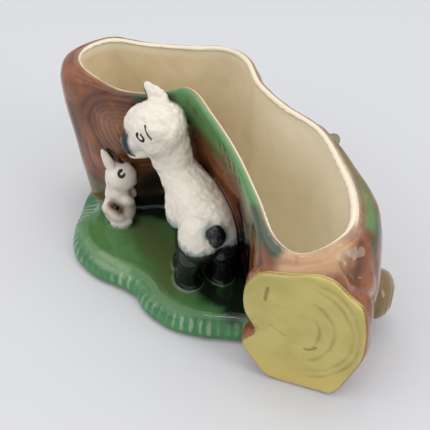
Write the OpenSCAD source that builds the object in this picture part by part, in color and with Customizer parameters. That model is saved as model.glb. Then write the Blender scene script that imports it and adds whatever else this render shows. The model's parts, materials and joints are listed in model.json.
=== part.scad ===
// Glazed earthenware planter: a hollow fallen log with sawn ends and branch stubs,
// a grass bank in its hollow side, and a lamb and a rabbit standing on the grass.
// +X runs along the log to its front sawn end, -Y is the side with the animals, +Z is up.
// The origin lies on the table, under the middle of the pot.

/* [Log] */
// Length of the log, from its left sawn end to its front sawn end
log_l = 240; // [200:1:290]
// Depth from the edge of the grass bank to the back of the log
log_d = 120; // [100:1:150]
// Height of the rim at its left end
rim_h = 106; // [90:1:130]
// Thickness of the cast wall
wall = 4.5; // [3:0.1:7]
// Thickness of the floor inside the trough
floor_t = 6; // [4:0.5:10]
// How far the log swells outside its rim at most
swell = 16; // [8:0.5:20]
// Radius of the rounded lip along the rim
lip_r = 1.6; // [0.8:0.1:2.4]
// Depth of the folds in the bark beside the front sawn end
bark_fold = 1.2; // [0:0.1:2]

/* [Sawn ends] */
// Width of the front sawn end
front_end_w = 63; // [50:1:75]
// Height of the front sawn end
front_end_h = 87; // [75:1:95]
// Direction that the front sawn end faces, from +X, in degrees
front_end_turn = -60; // [-70:1:-50]
// How far the left sawn end leans outwards from the upright, in degrees
left_end_lean = 6.5; // [0:0.5:9]
// Thickness of the pale wood layer on each sawn end
sawn_t = 3; // [1.5:0.1:5]
// Depth of the growth rings cut into the sawn ends
ring_depth = 0.8; // [0.3:0.1:1.4]
// Width of one growth-ring groove
ring_w = 1.6; // [0.8:0.1:2.5]

/* [Branch stubs] */
// Radius of the low stub at the right-hand side
side_stub_r = 17; // [12:0.5:20]
// Reach of the low stub beyond the log
side_stub_l = 11; // [6:0.5:16]
// Radius of the high stub at the back
back_stub_r = 18; // [14:0.5:20]
// Reach of the high stub beyond the log
back_stub_l = 9; // [6:0.5:14]
// Radius of the small broken twig at the back
twig_r = 5; // [3:0.5:8]
// Reach of the small broken twig
twig_l = 12; // [8:0.5:16]

/* [Grass bank] */
// Height of the flat top of the bank
bank_h = 14; // [8:0.5:20]
// Width of the bank's sloping edge
bank_edge_w = 10; // [6:0.5:14]

/* [Foot] */
// Thickness of the unglazed foot under the whole pot
foot_t = 2; // [1:0.1:3]
// How far the foot is set in from the glazed edge
foot_inset = 1; // [0:0.1:2]

/* [Lamb] */
// Height of the lamb, from its hooves to the top of its head
lamb_h = 96; // [80:1:104]
// Direction that the lamb's body faces, from +X, in degrees
lamb_turn = 166; // [156:1:176]
// Direction that the lamb's head faces, from +X, in degrees
lamb_head_turn = 226; // [210:1:235]

/* [Rabbit] */
// Height of the rabbit, from its feet to its ear tips
rabbit_h = 52; // [42:1:58]
// Direction that the rabbit faces, from +X, in degrees
rabbit_turn = 46; // [20:1:60]

/* [Hidden] */

// Clay and glaze colours
bark_brown = [0.55, 0.33, 0.22];
sawn_yellow = [0.72, 0.68, 0.30];
grass_green = [0.22, 0.48, 0.25];
wool_white = [0.90, 0.88, 0.83];
hoof_black = [0.07, 0.08, 0.09];
rabbit_cream = [0.88, 0.83, 0.76];
patch_brown = [0.36, 0.20, 0.11];
biscuit = [0.72, 0.55, 0.44];

half_l = log_l / 2;
half_d = log_d / 2;
overrun = log_l;

// How finely the round forms are drawn
plan_steps = 3;
level_steps = 3;
outline_steps = 3;
limb_steps = 2;
body_sides = 18;
limb_sides = 12;
ring_sides = 28;

// The trough's control rows go along the front from left to right, then back along the rear.
// Each row: X share of half_l, Y share of half_d, rim height share of rim_h,
// then how far the wall stands out at its foot, waist and shoulder, as shares of swell.
trough_shares = [
    [-0.960, -0.15, 0.990, -0.15, 0.20, 0.55],
    [-0.840, -0.33, 0.990, -0.15, 0.20, 0.55],
    [-0.665, -0.34, 0.985, -0.10, 0.05, 0.20],
    [-0.520, -0.27, 0.980, -0.25, -0.20, 0.05],
    [-0.385, -0.08, 0.990, -0.60, -0.50, -0.15],
    [-0.235, 0.06, 1.035, -0.65, -0.50, 0.00],
    [-0.065, 0.03, 0.985, -0.65, -0.55, 0.05],
    [0.150, -0.08, 0.940, -0.70, -0.60, 0.05],
    [0.365, -0.24, 0.895, -0.20, 0.10, 0.20],
    [0.560, -0.40, 0.850, 0.10, 0.45, 0.25],
    [0.715, -0.30, 0.830, 0.10, 0.20, 0.15],
    [0.775, 0.13, 0.855, 0.85, 0.75, 0.55],
    [0.675, 0.43, 0.900, 1.25, 0.80, 0.45],
    [0.500, 0.62, 0.930, 0.80, 0.45, 0.15],
    [0.285, 0.77, 0.960, 0.15, 0.35, 0.15],
    [0.065, 0.76, 0.975, 0.00, 0.30, 0.15],
    [-0.115, 0.80, 0.995, 0.00, 0.30, 0.15],
    [-0.285, 0.95, 1.000, -0.15, 0.20, 0.10],
    [-0.460, 0.96, 1.000, -0.15, 0.20, 0.10],
    [-0.600, 0.72, 1.000, -0.15, 0.25, 0.15],
    [-0.790, 0.45, 1.000, -0.15, 0.20, 0.30],
    [-0.950, 0.23, 0.995, -0.15, 0.20, 0.50],
];
// How far the trough's inside follows the swell
inner_swell_share = 0.35;
// Heights of the foot, waist, shoulder and rim, as shares of the local rim height
level_shares = [0, 0.44, 0.90, 1];

// The front sawn end's outline: share of its width from its middle, share of its height
front_end_shares = [
    [-0.47, 0.80], [-0.36, 0.92], [-0.16, 0.95], [0.00, 1.00], [0.17, 0.985], [0.32, 0.90],
    [0.45, 0.80], [0.50, 0.62], [0.50, 0.43], [0.43, 0.24], [0.34, 0.06], [0.22, 0.00],
    [-0.22, 0.00], [-0.40, 0.10], [-0.50, 0.27], [-0.40, 0.43], [-0.48, 0.57], [-0.50, 0.70],
];
// Half the width of the front sawn end's flat underside, as a share of its width
front_foot_share = 0.21;
// The front sawn end's rings, from its face backwards: forward as a share of sawn_t, back as a
// share of front_end_reach, growth as a share of sawn_t, depth of the folds as a share, and
// width as a share, which leads its back end well inside the log
front_end_ring_shares = [
    [1, 0, -0.6, 0, 1], [0.5, 0, 0, 0, 1], [-1, 0, 0.35, 0.4, 1],
    [0, 0.15, 0.35, 1, 1], [0, 0.30, -0.35, 1, 1], [0, 0.58, -0.60, 0.8, 1], [0, 1, -1, 0.5, 0.6],
];
// How far the front log end runs back into the log, as a share of its width
front_end_reach_share = 0.75;
front_end_reach = front_end_reach_share * front_end_w;
// How many folds run round the front log end
bark_folds = 9;
// The front sawn end's middle, on the ground, as shares of half_l and half_d
front_end_x_share = 0.765;
front_end_y_share = -0.36;
// The middle of the left sawn end, as a share of half_l
left_end_share = 0.975;

// The growth rings' middle on a sawn face, and its rise from ring to ring
ring_middle_share = 0.5;
ring_rise_share = 0.02;

// The low stub's middle, as shares of half_l, half_d and rim_h, and the way it points
side_stub_x_share = 0.70;
side_stub_y_share = 0.62;
side_stub_z_share = 0.225;
side_stub_turn = 30;
// The high stub's middle, and the way it points
back_stub_x_share = -0.375;
back_stub_y_share = 0.93;
back_stub_z_share = 0.835;
back_stub_turn = 102;
back_stub_rise = 14;
// How far the stub stays clear of the rim, and from which height up
stub_gap = 0.4;
stub_top_share = 0.92;
// The twig's middle, and the way it points
twig_x_share = 0.26;
twig_y_share = 0.80;
twig_z_share = 0.83;
twig_turn = 62;
twig_rise = 20;
// A stub's rings: shares of its radius, its reach and sawn_t along it, and its radius there
stub_ring_shares = [
    [-1, 0, 0, 1.25], [0, 0, 0, 1.12], [0, 0.6, 0, 1],
    [0, 1, 0, 0.98], [0, 1, 0.7, 0.86], [0, 1, 1, 0.6],
];
// How far a stub's outline swells and shrinks, twice and three times round, and from where
stub_lump_shares = [0.05, 0.03];
stub_turn = 40;
stub_sides = 20;
// The twig's stations: share of its reach, rise, half width and half height as shares of its radius
twig_shares = [
    [-1, 0, 1.6, 1.6], [0, 0, 1.3, 1.3], [0.5, 0, 1, 0.9], [0.85, 0.2, 0.7, 0.6], [1, 0.3, 0.3, 0.25],
];

// The grass bank's outline on the table, as shares of half_l and half_d.
// Its last points run on under the log.
bank_shares = [
    [-0.87, -0.18], [-0.86, -0.38], [-0.76, -0.60], [-0.66, -0.84], [-0.52, -0.99],
    [-0.35, -1.00], [-0.18, -0.88], [0.00, -0.87], [0.15, -0.82], [0.28, -0.67],
    [0.40, -0.47], [0.54, -0.20], [0.46, 0.16], [0.00, 0.38], [-0.36, 0.38], [-0.70, 0.14],
];
// The bank's edge: share of bank_edge_w inwards, share of its height
bank_edge_shares = [[0, 0], [0.04, 0.30], [0.22, 0.66], [0.58, 0.92], [1, 1]];

// Where the two animals stand, as shares of half_l and half_d
lamb_x_share = 0.0;
lamb_y_share = -0.165;
rabbit_x_share = -0.52;
rabbit_y_share = -0.40;

// The lamb's body, from rump to neck, as shares of lamb_h:
// forward, left, up, half width and half height
lamb_body_shares = [
    [-0.255, 0.00, 0.35, 0.03, 0.03], [-0.235, 0.00, 0.35, 0.09, 0.09],
    [-0.18, 0.00, 0.36, 0.145, 0.150], [-0.075, 0.00, 0.385, 0.168, 0.175],
    [0.02, 0.005, 0.43, 0.168, 0.168], [0.09, 0.01, 0.47, 0.158, 0.158],
    [0.155, 0.02, 0.51, 0.140, 0.140], [0.22, 0.035, 0.56, 0.122, 0.122],
    [0.262, 0.055, 0.61, 0.110, 0.110], [0.288, 0.080, 0.68, 0.104, 0.104],
    [0.315, 0.105, 0.76, 0.090, 0.090],
];
// Which way is up for the lamb's sections, as its spine turns up into its neck
lamb_up_share = [-0.5, 0, 1];
// The lamb's head, from its nape to its nose: forward, up, half width and half height
lamb_head_shares = [
    [-0.170, 0.02, 0.03, 0.03], [-0.146, 0.02, 0.09, 0.09], [-0.083, 0.02, 0.146, 0.148],
    [0.00, 0.01, 0.168, 0.173], [0.070, -0.005, 0.148, 0.158], [0.112, -0.035, 0.110, 0.120],
    [0.143, -0.065, 0.088, 0.093], [0.170, -0.090, 0.075, 0.078], [0.192, -0.105, 0.052, 0.055],
    [0.200, -0.110, 0.02, 0.02],
];
// A leg of the lamb, from its hoof up: forward, inwards as a share of its distance from the
// middle line, up, half width and half length
lamb_leg_shares = [
    [0.022, 0, -0.02, 0.070, 0.084], [0.020, 0, 0.035, 0.074, 0.088], [0.006, 0, 0.075, 0.062, 0.066],
    [0, 0, 0.13, 0.058, 0.062], [0.005, 0.12, 0.20, 0.076, 0.088], [0.01, 0.30, 0.27, 0.078, 0.092],
    [0.01, 0.50, 0.33, 0.050, 0.060],
];
// Where the legs stand, right and left, and how thick the front ones are beside the hind ones
lamb_front_leg_shares = [[0.0, -0.10, 0], [0.0, 0.12, 0]];
lamb_hind_leg_shares = [[-0.175, -0.10, 0], [-0.175, 0.105, 0]];
lamb_front_thick_share = 0.88;
// The lamb's tail, from its root down
lamb_tail_shares = [
    [-0.235, 0.03, 0.49, 0.022, 0.022], [-0.262, 0.03, 0.46, 0.034, 0.032],
    [-0.272, 0.03, 0.41, 0.036, 0.030], [-0.264, 0.03, 0.36, 0.026, 0.022],
    [-0.25, 0.03, 0.335, 0.008, 0.008],
];
// The lamb's ears, from their roots out. The left one is laid back, the right one stands up.
lamb_left_ear_shares = [
    [0.040, 0.125, 0.080, 0.026, 0.018], [0.00, 0.150, 0.080, 0.050, 0.028],
    [-0.05, 0.160, 0.060, 0.056, 0.027], [-0.10, 0.152, 0.030, 0.040, 0.020],
    [-0.13, 0.140, 0.010, 0.012, 0.008],
];
lamb_right_ear_shares = [
    [-0.015, -0.075, 0.110, 0.060, 0.030], [0.00, -0.095, 0.145, 0.066, 0.034],
    [0.02, -0.120, 0.180, 0.052, 0.028], [0.045, -0.145, 0.210, 0.028, 0.018],
    [0.060, -0.155, 0.225, 0.008, 0.006],
];
// The middle of the lamb's skull, forward, left and up from between its hooves
lamb_head_x_share = 0.336;
lamb_head_y_share = 0.111;
lamb_head_z_share = 0.815;

// The rabbit's body, from its rump up to its neck
rabbit_body_shares = [
    [-0.02, -0.02, 0.10, 0.10], [-0.02, 0.03, 0.160, 0.170], [-0.015, 0.14, 0.190, 0.200],
    [-0.01, 0.27, 0.170, 0.175], [0.00, 0.39, 0.135, 0.135], [0.01, 0.50, 0.120, 0.115],
    [0.01, 0.58, 0.10, 0.10],
];
// The rabbit's head, from its nape to its nose
rabbit_head_shares = [
    [-0.175, 0.02, 0.03, 0.03], [-0.150, 0.02, 0.10, 0.10], [-0.080, 0.02, 0.160, 0.165],
    [0.000, 0.00, 0.175, 0.185], [0.085, -0.03, 0.150, 0.165], [0.150, -0.05, 0.110, 0.120],
    [0.185, -0.06, 0.06, 0.065], [0.195, -0.06, 0.02, 0.02],
];
// The rabbit's left ear, forepaw and hind foot, and its tail
rabbit_ear_shares = [
    [-0.08, 0.055, 0.09, 0.050, 0.034], [-0.13, 0.065, 0.17, 0.062, 0.038],
    [-0.19, 0.070, 0.25, 0.050, 0.032], [-0.235, 0.070, 0.31, 0.016, 0.012],
];
rabbit_forepaw_shares = [
    [0.04, 0.08, 0.40, 0.05, 0.05], [0.11, 0.09, 0.37, 0.060, 0.060],
    [0.17, 0.07, 0.32, 0.052, 0.050], [0.205, 0.055, 0.285, 0.02, 0.02],
];
rabbit_hind_foot_shares = [
    [-0.10, 0.13, 0.05, 0.06, 0.05], [0.02, 0.15, 0.06, 0.078, 0.062],
    [0.13, 0.14, 0.055, 0.068, 0.058], [0.20, 0.13, 0.045, 0.024, 0.022],
];
rabbit_tail_shares = [
    [-0.13, -0.05, 0.19, 0.06, 0.06], [-0.175, -0.07, 0.20, 0.085, 0.085],
    [-0.215, -0.085, 0.21, 0.068, 0.068], [-0.24, -0.095, 0.215, 0.02, 0.02],
];
// The middle of the rabbit's skull, forward and up from between its feet
rabbit_head_x_share = 0.03;
rabbit_head_z_share = 0.66;

// Curves, offsets and skins

function between(a, b, share) = a + (b - a) * share;
function unit(v) = v / norm(v);
function middle(points) = [for (k = [0:2]) [for (p = points) p[k]] * [for (p = points) 1] / len(points)];

// A smooth curve through four points, between the second and the third
function curve_at(a, b, c, d, t) =
    (2 * b + (c - a) * t + (2 * a - 5 * b + 4 * c - d) * t * t
        + (3 * b - a - 3 * c + d) * t * t * t) / 2;
function closed_curve(p, steps) =
    let (n = len(p))
    [for (i = [0:n - 1], k = [0:steps - 1])
        curve_at(p[(i + n - 1) % n], p[i], p[(i + 1) % n], p[(i + 2) % n], k / steps)];
function open_curve(p, steps) =
    let (n = len(p))
    [for (i = [0:n - 2], k = [0:steps - 1])
        curve_at(p[max(i - 1, 0)], p[i], p[i + 1], p[min(i + 2, n - 1)], k / steps), p[n - 1]];

// Which way is out, at a point of an outline that runs anticlockwise
function outward(p, i) =
    let (n = len(p), along = p[(i + 1) % n] - p[(i + n - 1) % n])
    unit([along[1], -along[0]]);
// The same outline, moved outwards by a distance
function moved_out(p, distance) =
    [for (i = [0:len(p) - 1])
        let (out = outward(p, i))
        concat([p[i][0] + out[0] * distance, p[i][1] + out[1] * distance], len(p[i]) > 2 ? [p[i][2]] : [])];

// Triangles between rings of equal count
function side_faces(count, sides) =
    [for (j = [0:count - 2], i = [0:sides - 1])
        let (a = j * sides + i, b = j * sides + (i + 1) % sides)
        each [[a, a + sides, b + sides], [a, b + sides, b]]];
// A flat cap on a long bent outline, laid like the rungs of a ladder from one end to the other
function rung_faces(first, sides, steps) =
    [for (i = [0:sides / 2 - 1])
        let (
            start = sides * 2 - steps / 2,
            a = first + (start + i) % sides,
            b = first + (start + i + 1) % sides,
            c = first + (start - i - 1) % sides,
            d = first + (start - i) % sides
        )
        each [if (a != d) [a, b, d], if (b != c) [b, c, d]]];
function flipped(faces) = [for (f = faces) [f[2], f[1], f[0]]];

// A solid through rings of points, closed at each end by a fan from its middle
module skin(rings) {
    sides = len(rings[0]);
    count = len(rings);
    last = count * sides;
    polyhedron(
        points = concat([for (r = rings) each r], [middle(rings[0]), middle(rings[count - 1])]),
        faces = concat(
            side_faces(count, sides),
            [for (i = [0:sides - 1]) [last, i, (i + 1) % sides]],
            [for (i = [0:sides - 1])
                [last + 1, last - sides + (i + 1) % sides, last - sides + i]]
        )
    );
}

// A solid through long bent rings, closed at each end by rungs
module long_skin(rings) {
    sides = len(rings[0]);
    count = len(rings);
    polyhedron(
        points = [for (r = rings) each r],
        faces = concat(
            side_faces(count, sides),
            rung_faces(0, sides, plan_steps),
            flipped(rung_faces((count - 1) * sides, sides, plan_steps))
        )
    );
}

// Keeps a sculpted form, with its cuts, as one body. The zeros leave its size alone.
module sculpted() {
    resize([0, 0, 0]) children();
}

// An oval section of a limb
function oval(centre, along, half_w, half_h, sides, up) =
    let (side = unit(cross(up, along)), top = unit(cross(along, side)))
    [for (i = [0:sides - 1])
        let (a = 360 * i / sides)
        centre + side * half_w * cos(a) + top * half_h * sin(a)];
// The rings of a limb whose stations are [x, y, z, half width, half height]
function limb_rings(stations, sides, up) =
    let (s = open_curve(stations, limb_steps), n = len(s))
    [for (i = [0:n - 1])
        let (a = s[max(i - 1, 0)], b = s[min(i + 1, n - 1)])
        oval([s[i][0], s[i][1], s[i][2]], unit([b[0] - a[0], b[1] - a[1], b[2] - a[2]]),
            s[i][3], s[i][4], sides, up)];
module limb(stations, sides, up = [0, 0, 1]) {
    skin(limb_rings(stations, sides, up));
}
// Stations along the middle of an animal, from a table of shares of its height
function mid_stations(shares, h) = [for (s = shares) [s[0], 0, s[1], s[2], s[3]] * h];

// Foot

function bank_outline() =
    closed_curve([for (s = bank_shares) [s[0] * half_l, s[1] * half_d]], outline_steps);

module foot() {
    color(biscuit) linear_extrude(foot_t) {
        polygon([for (p = moved_out(trough_outline(0), -foot_inset)) [p[0], p[1]]]);
        polygon(moved_out(bank_outline(), -foot_inset));
        front_end_place_2d() polygon(front_end_footprint());
    }
}

// Trough

// Where a control row's wall stands when it is moved out by a share of swell
function trough_control(row_offsets) =
    let (p = [for (s = trough_shares) [s[0] * half_l, s[1] * half_d]])
    [for (i = [0:len(p) - 1])
        let (out = outward(p, i), away = row_offsets[i] * swell)
        [p[i][0] + out[0] * away, p[i][1] + out[1] * away, trough_shares[i][2] * rim_h]];

level_curve_shares = open_curve(level_shares, level_steps);
function level_offsets(level, most) =
    [for (s = trough_shares) min(open_curve([s[3], s[4], s[5], 0], level_steps)[level], most)];
levels = len(level_curve_shares);

// The wall's outline at a level, in plan, with the rim's height above each point
function trough_outline(level, most = 1) =
    closed_curve(trough_control(level_offsets(level, most)), plan_steps);

// A ring of the wall: an outline with heights, its height share, and how far it is moved out
function trough_ring(level, share, out, drop, most = 1) =
    [for (p = moved_out(trough_outline(level, most), out))
        [p[0], p[1], max(p[2] * share - drop, foot_t)]];

function trough_outer_rings() = concat(
    [trough_ring(0, 0, 0, 0)],
    [for (k = [1:levels - 2]) trough_ring(k, level_curve_shares[k], 0, 0)],
    [trough_ring(levels - 1, 1, 0, lip_r), trough_ring(levels - 1, 1, -lip_r, 0)]
);
function trough_lip_rings() = [
    trough_ring(levels - 1, 1, lip_r - wall, 0),
    trough_ring(levels - 1, 1, -wall, lip_r),
];
function trough_inner_rings() = concat(
    [for (k = [levels - 2:-1:3]) trough_ring(k, level_curve_shares[k], -wall, 0, inner_swell_share)],
    [trough_ring(2, level_curve_shares[2], -wall - floor_t / 4, 0, inner_swell_share)],
    [[for (p = moved_out(trough_outline(1, inner_swell_share), -wall - floor_t))
        [p[0], p[1], foot_t + floor_t]]]
);

// The log as a solid, from the table up to its rim
module trough_block() {
    long_skin(concat([[for (p = trough_outline(0)) [p[0], p[1], 0]]], trough_outer_rings()));
}
// The half of space above the foot
module above_foot() {
    translate([-overrun, -overrun, foot_t]) cube([2 * overrun, 2 * overrun, overrun]);
}

// The log and all that is above it, with the joint's width round its rim
module log_and_above() {
    trough_block();
    translate([0, 0, stub_top_share * rim_h]) linear_extrude(overrun)
        polygon([for (p = moved_out(trough_outline(levels - 1), stub_gap)) [p[0], p[1]]]);
}

// The left sawn end's own place: +X looks out of the log, and +Z runs up the face
module left_end_place() {
    translate([-left_end_share * half_l, 0, rim_h / 2]) rotate([0, left_end_lean, 180]) children();
}
// What lies beyond the plane of the left sawn end
module beyond_left_end(from) {
    left_end_place() translate([from, -overrun, -overrun])
        cube([overrun, 2 * overrun, 2 * overrun]);
}

module trough() {
    color(bark_brown) sculpted() difference() {
        long_skin(concat(trough_outer_rings(), trough_lip_rings(), trough_inner_rings()));
        beyond_left_end(0);
    }
}

// Sawn ends

// A closed outline of a sawn end, in its own plane: across, up
function front_end_outline(grow) =
    let (s = front_end_shares, n = len(s))
    moved_out(closed_curve([for (i = [n - 1:-1:0])
        [s[i][0] * front_end_w, s[i][1] * front_end_h]], outline_steps), grow);
function front_end_footprint() =
    let (side = front_foot_share * front_end_w, front = sawn_t - foot_inset)
    [[front, -side], [front, side], [-front_end_reach, side], [-front_end_reach, -side]];

module front_end_place() {
    translate([front_end_x_share * half_l, front_end_y_share * half_d, 0])
        rotate([0, 0, front_end_turn]) children();
}
module front_end_place_2d() {
    translate([front_end_x_share * half_l, front_end_y_share * half_d])
        rotate(front_end_turn) children();
}

// Growth rings sunk into a sawn face that looks along +X. Their middle drifts off to one side.
module growth_rings(across, up, count, side_share) {
    groove = [[-ring_w / 2, 0], [0, -ring_depth], [ring_w / 2, 0], [0, ring_depth]];
    for (k = [1:count])
        translate([0, side_share * across * k / count, up * (ring_middle_share + ring_rise_share * k)])
            rotate([0, 90, 0]) scale([up / across, 1, 1]) rotate_extrude($fn = ring_sides)
                translate([across / 2 * k / (count + 1), 0]) polygon(groove);
}

// The end of the log, from behind its bark to its sawn face
module front_end_form() {
    skin([for (k = [len(front_end_ring_shares) - 1:-1:0])
        let (s = front_end_ring_shares[k], ring = front_end_outline(s[2] * sawn_t), n = len(ring))
        [for (i = [0:n - 1])
            let (fold = 1 - s[3] * bark_fold / front_end_w * (1 + cos(360 * bark_folds * i / n)))
            [s[0] * sawn_t - s[1] * front_end_reach, ring[i][0] * fold * s[4],
                max(ring[i][1] * fold, 0)]]]);
}

module front_log_end() {
    color(bark_brown) sculpted() difference() {
        front_end_place() intersection() {
            front_end_form();
            translate([-overrun, -overrun, foot_t]) cube([overrun, 2 * overrun, overrun]);
        }
        trough_block();
    }
}

module front_sawn_face() {
    color(sawn_yellow) sculpted() difference() {
        front_end_place() difference() {
            intersection() {
                front_end_form();
                translate([0, -overrun, foot_t]) cube([overrun, 2 * overrun, overrun]);
            }
            translate([sawn_t, 0, 0]) growth_rings(front_end_w, front_end_h, 4, -0.07);
        }
        trough_block();
    }
}

module left_sawn_face() {
    color(sawn_yellow) sculpted() difference() {
        intersection() {
            trough_block();
            beyond_left_end(0);
            above_foot();
        }
        beyond_left_end(sawn_t);
        left_end_place() translate([sawn_t, 0, -rim_h / 2]) growth_rings(half_d, rim_h, 3, 0.05);
    }
}

// Branch stubs

module side_stub_place() {
    translate([side_stub_x_share * half_l, side_stub_y_share * half_d, side_stub_z_share * rim_h])
        rotate([0, 0, side_stub_turn]) children();
}
module back_stub_place() {
    translate([back_stub_x_share * half_l, back_stub_y_share * half_d, back_stub_z_share * rim_h])
        rotate([0, -back_stub_rise, back_stub_turn]) children();
}
module twig_place() {
    translate([twig_x_share * half_l, twig_y_share * half_d, twig_z_share * rim_h])
        rotate([0, -twig_rise, twig_turn]) children();
}

// A short branch along +X, with a knobbly outline and a slightly domed end
module stub_form(r, reach) {
    skin([for (s = stub_ring_shares)
        [for (i = [0:stub_sides - 1])
            let (
                a = 360 * i / stub_sides,
                lump = 1 + stub_lump_shares[0] * cos(2 * a + stub_turn) + stub_lump_shares[1] * cos(3 * a)
            )
            [s[0] * r + s[1] * reach + s[2] * sawn_t, s[3] * r * lump * cos(a),
                s[3] * r * lump * sin(a)]]]);
}
// What lies on the log's side of a stub's sawn face
module behind_stub_face(reach) {
    translate([-overrun, -overrun, -overrun]) cube([overrun + reach, 2 * overrun, 2 * overrun]);
}
module stub(r, reach) {
    intersection() {
        stub_form(r, reach);
        behind_stub_face(reach);
    }
}
module stub_face(r, reach) {
    difference() {
        stub_form(r, reach);
        behind_stub_face(reach);
        translate([reach + sawn_t, 0, -r]) growth_rings(2 * r, 2 * r, 2, 0.03);
    }
}

module side_stub() {
    color(bark_brown) sculpted() difference() {
        intersection() {
            side_stub_place() stub(side_stub_r, side_stub_l);
            above_foot();
        }
        trough_block();
        front_end_place() front_end_form();
    }
}
module side_stub_face() {
    color(sawn_yellow) sculpted() difference() {
        intersection() {
            side_stub_place() stub_face(side_stub_r, side_stub_l);
            above_foot();
        }
        trough_block();
        front_end_place() front_end_form();
    }
}
module back_stub() {
    color(bark_brown) sculpted() difference() {
        back_stub_place() stub(back_stub_r, back_stub_l);
        log_and_above();
    }
}
module back_stub_face() {
    color(sawn_yellow) sculpted() difference() {
        back_stub_place() stub_face(back_stub_r, back_stub_l);
        log_and_above();
    }
}
module twig() {
    stations = [for (s = twig_shares)
        [s[0] * twig_l, 0, s[1] * twig_r, s[2] * twig_r, s[3] * twig_r]];
    color(bark_brown) sculpted() difference() {
        twig_place() limb(stations, limb_sides);
        trough_block();
    }
}

// Grass bank

module grass_bank() {
    outline = bank_outline();
    color(grass_green) sculpted() difference() {
        skin([for (s = bank_edge_shares)
            [for (p = moved_out(outline, -s[0] * bank_edge_w))
                [p[0], p[1], between(foot_t, bank_h, s[1])]]]);
        trough_block();
        front_end_place() front_end_form();
    }
}

// The half of space above an animal's own ground
module above_ground() {
    translate([-overrun, -overrun, 0]) cube([2 * overrun, 2 * overrun, overrun]);
}

// Lamb

module lamb_place() {
    translate([lamb_x_share * half_l, lamb_y_share * half_d, bank_h])
        rotate([0, 0, lamb_turn]) children();
}
module lamb_head_place() {
    lamb_place() translate([lamb_head_x_share, lamb_head_y_share, lamb_head_z_share] * lamb_h)
        rotate([0, 0, lamb_head_turn - lamb_turn]) children();
}
module lamb_body_form() {
    lamb_place() limb(lamb_body_shares * lamb_h, body_sides, lamb_up_share);
}
module lamb_head_form() {
    lamb_head_place() limb(mid_stations(lamb_head_shares, lamb_h), body_sides);
}
// A pair of legs, cut level at the hooves
module lamb_legs(places, thick_share) {
    color(hoof_black) sculpted() difference() {
        lamb_place() intersection() {
            for (place = places)
                translate(place * lamb_h) limb([for (s = lamb_leg_shares)
                    [s[0], -s[1] * place[1], s[2], s[3] * thick_share, s[4] * thick_share] * lamb_h],
                    limb_sides, [1, 0, 0]);
            above_ground();
        }
        lamb_body_form();
        trough_block();
    }
}
module lamb_ear(shares) {
    color(wool_white) sculpted() difference() {
        lamb_head_place() limb(shares * lamb_h, limb_sides, [0, 1, 0]);
        lamb_head_form();
        trough_block();
    }
}

module lamb_body() {
    color(wool_white) sculpted() difference() {
        lamb_body_form();
        trough_block();
    }
}
module lamb_head() {
    color(wool_white) sculpted() difference() {
        lamb_head_form();
        lamb_body_form();
        trough_block();
    }
}
module lamb_left_ear() {
    lamb_ear(lamb_left_ear_shares);
}
module lamb_right_ear() {
    lamb_ear(lamb_right_ear_shares);
}
module lamb_front_legs() {
    difference() {
        lamb_legs(lamb_front_leg_shares, lamb_front_thick_share);
        lamb_hind_legs();
    }
}
module lamb_hind_legs() {
    lamb_legs(lamb_hind_leg_shares, 1);
}
module lamb_tail() {
    color(hoof_black) sculpted() difference() {
        lamb_place() limb(lamb_tail_shares * lamb_h, limb_sides, [1, 0, 0]);
        lamb_body_form();
        lamb_hind_legs();
    }
}

// Rabbit

module rabbit_place() {
    translate([rabbit_x_share * half_l, rabbit_y_share * half_d, bank_h])
        rotate([0, 0, rabbit_turn]) children();
}
module rabbit_head_place() {
    rabbit_place() translate([rabbit_head_x_share, 0, rabbit_head_z_share] * rabbit_h) children();
}
// One limb for each side, from a table of shares for the left side
module rabbit_pair(shares) {
    for (side = [-1, 1])
        limb([for (s = shares) [s[0], side * s[1], s[2], s[3], s[4]] * rabbit_h], limb_sides);
}
module rabbit_body_form() {
    rabbit_place() intersection() {
        limb(mid_stations(rabbit_body_shares, rabbit_h), body_sides, [1, 0, 0]);
        above_ground();
    }
}
module rabbit_head_form() {
    rabbit_head_place() limb(mid_stations(rabbit_head_shares, rabbit_h), body_sides);
}
module rabbit_ear(side) {
    color(rabbit_cream) sculpted() difference() {
        rabbit_head_place()
            limb([for (s = rabbit_ear_shares) [s[0], side * s[1], s[2], s[3], s[4]] * rabbit_h],
                limb_sides, [0, 1, 0]);
        rabbit_head_form();
    }
}

module rabbit_body() {
    color(rabbit_cream) sculpted() rabbit_body_form();
}
module rabbit_head() {
    color(rabbit_cream) sculpted() difference() {
        rabbit_head_form();
        rabbit_body_form();
    }
}
module rabbit_left_ear() {
    rabbit_ear(1);
}
module rabbit_right_ear() {
    rabbit_ear(-1);
}
module rabbit_forepaws() {
    color(rabbit_cream) sculpted() difference() {
        rabbit_place() rabbit_pair(rabbit_forepaw_shares);
        rabbit_body_form();
    }
}
module rabbit_hind_feet() {
    color(rabbit_cream) sculpted() difference() {
        rabbit_place() intersection() {
            rabbit_pair(rabbit_hind_foot_shares);
            above_ground();
        }
        rabbit_body_form();
        trough_block();
    }
}
module rabbit_tail() {
    color(patch_brown) sculpted() difference() {
        rabbit_place() limb(rabbit_tail_shares * rabbit_h, limb_sides);
        rabbit_body_form();
    }
}

foot();
trough();
front_log_end();
front_sawn_face();
left_sawn_face();
side_stub();
side_stub_face();
back_stub();
back_stub_face();
twig();
grass_bank();
lamb_body();
lamb_head();
lamb_left_ear();
lamb_right_ear();
lamb_front_legs();
lamb_hind_legs();
lamb_tail();
rabbit_body();
rabbit_head();
rabbit_left_ear();
rabbit_right_ear();
rabbit_forepaws();
rabbit_hind_feet();
rabbit_tail();
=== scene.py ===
"""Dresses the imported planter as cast, hand-painted and glazed earthenware.

Every form is lofted from control values like its solid's, fitted more closely to the photograph.
The forms are melted into one clay skin with soft joints, as slip-cast clay has, then carved,
painted and cut back into one piece for each node. Lengths are in millimetres until a mesh is made,
which is in metres.
"""

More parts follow.
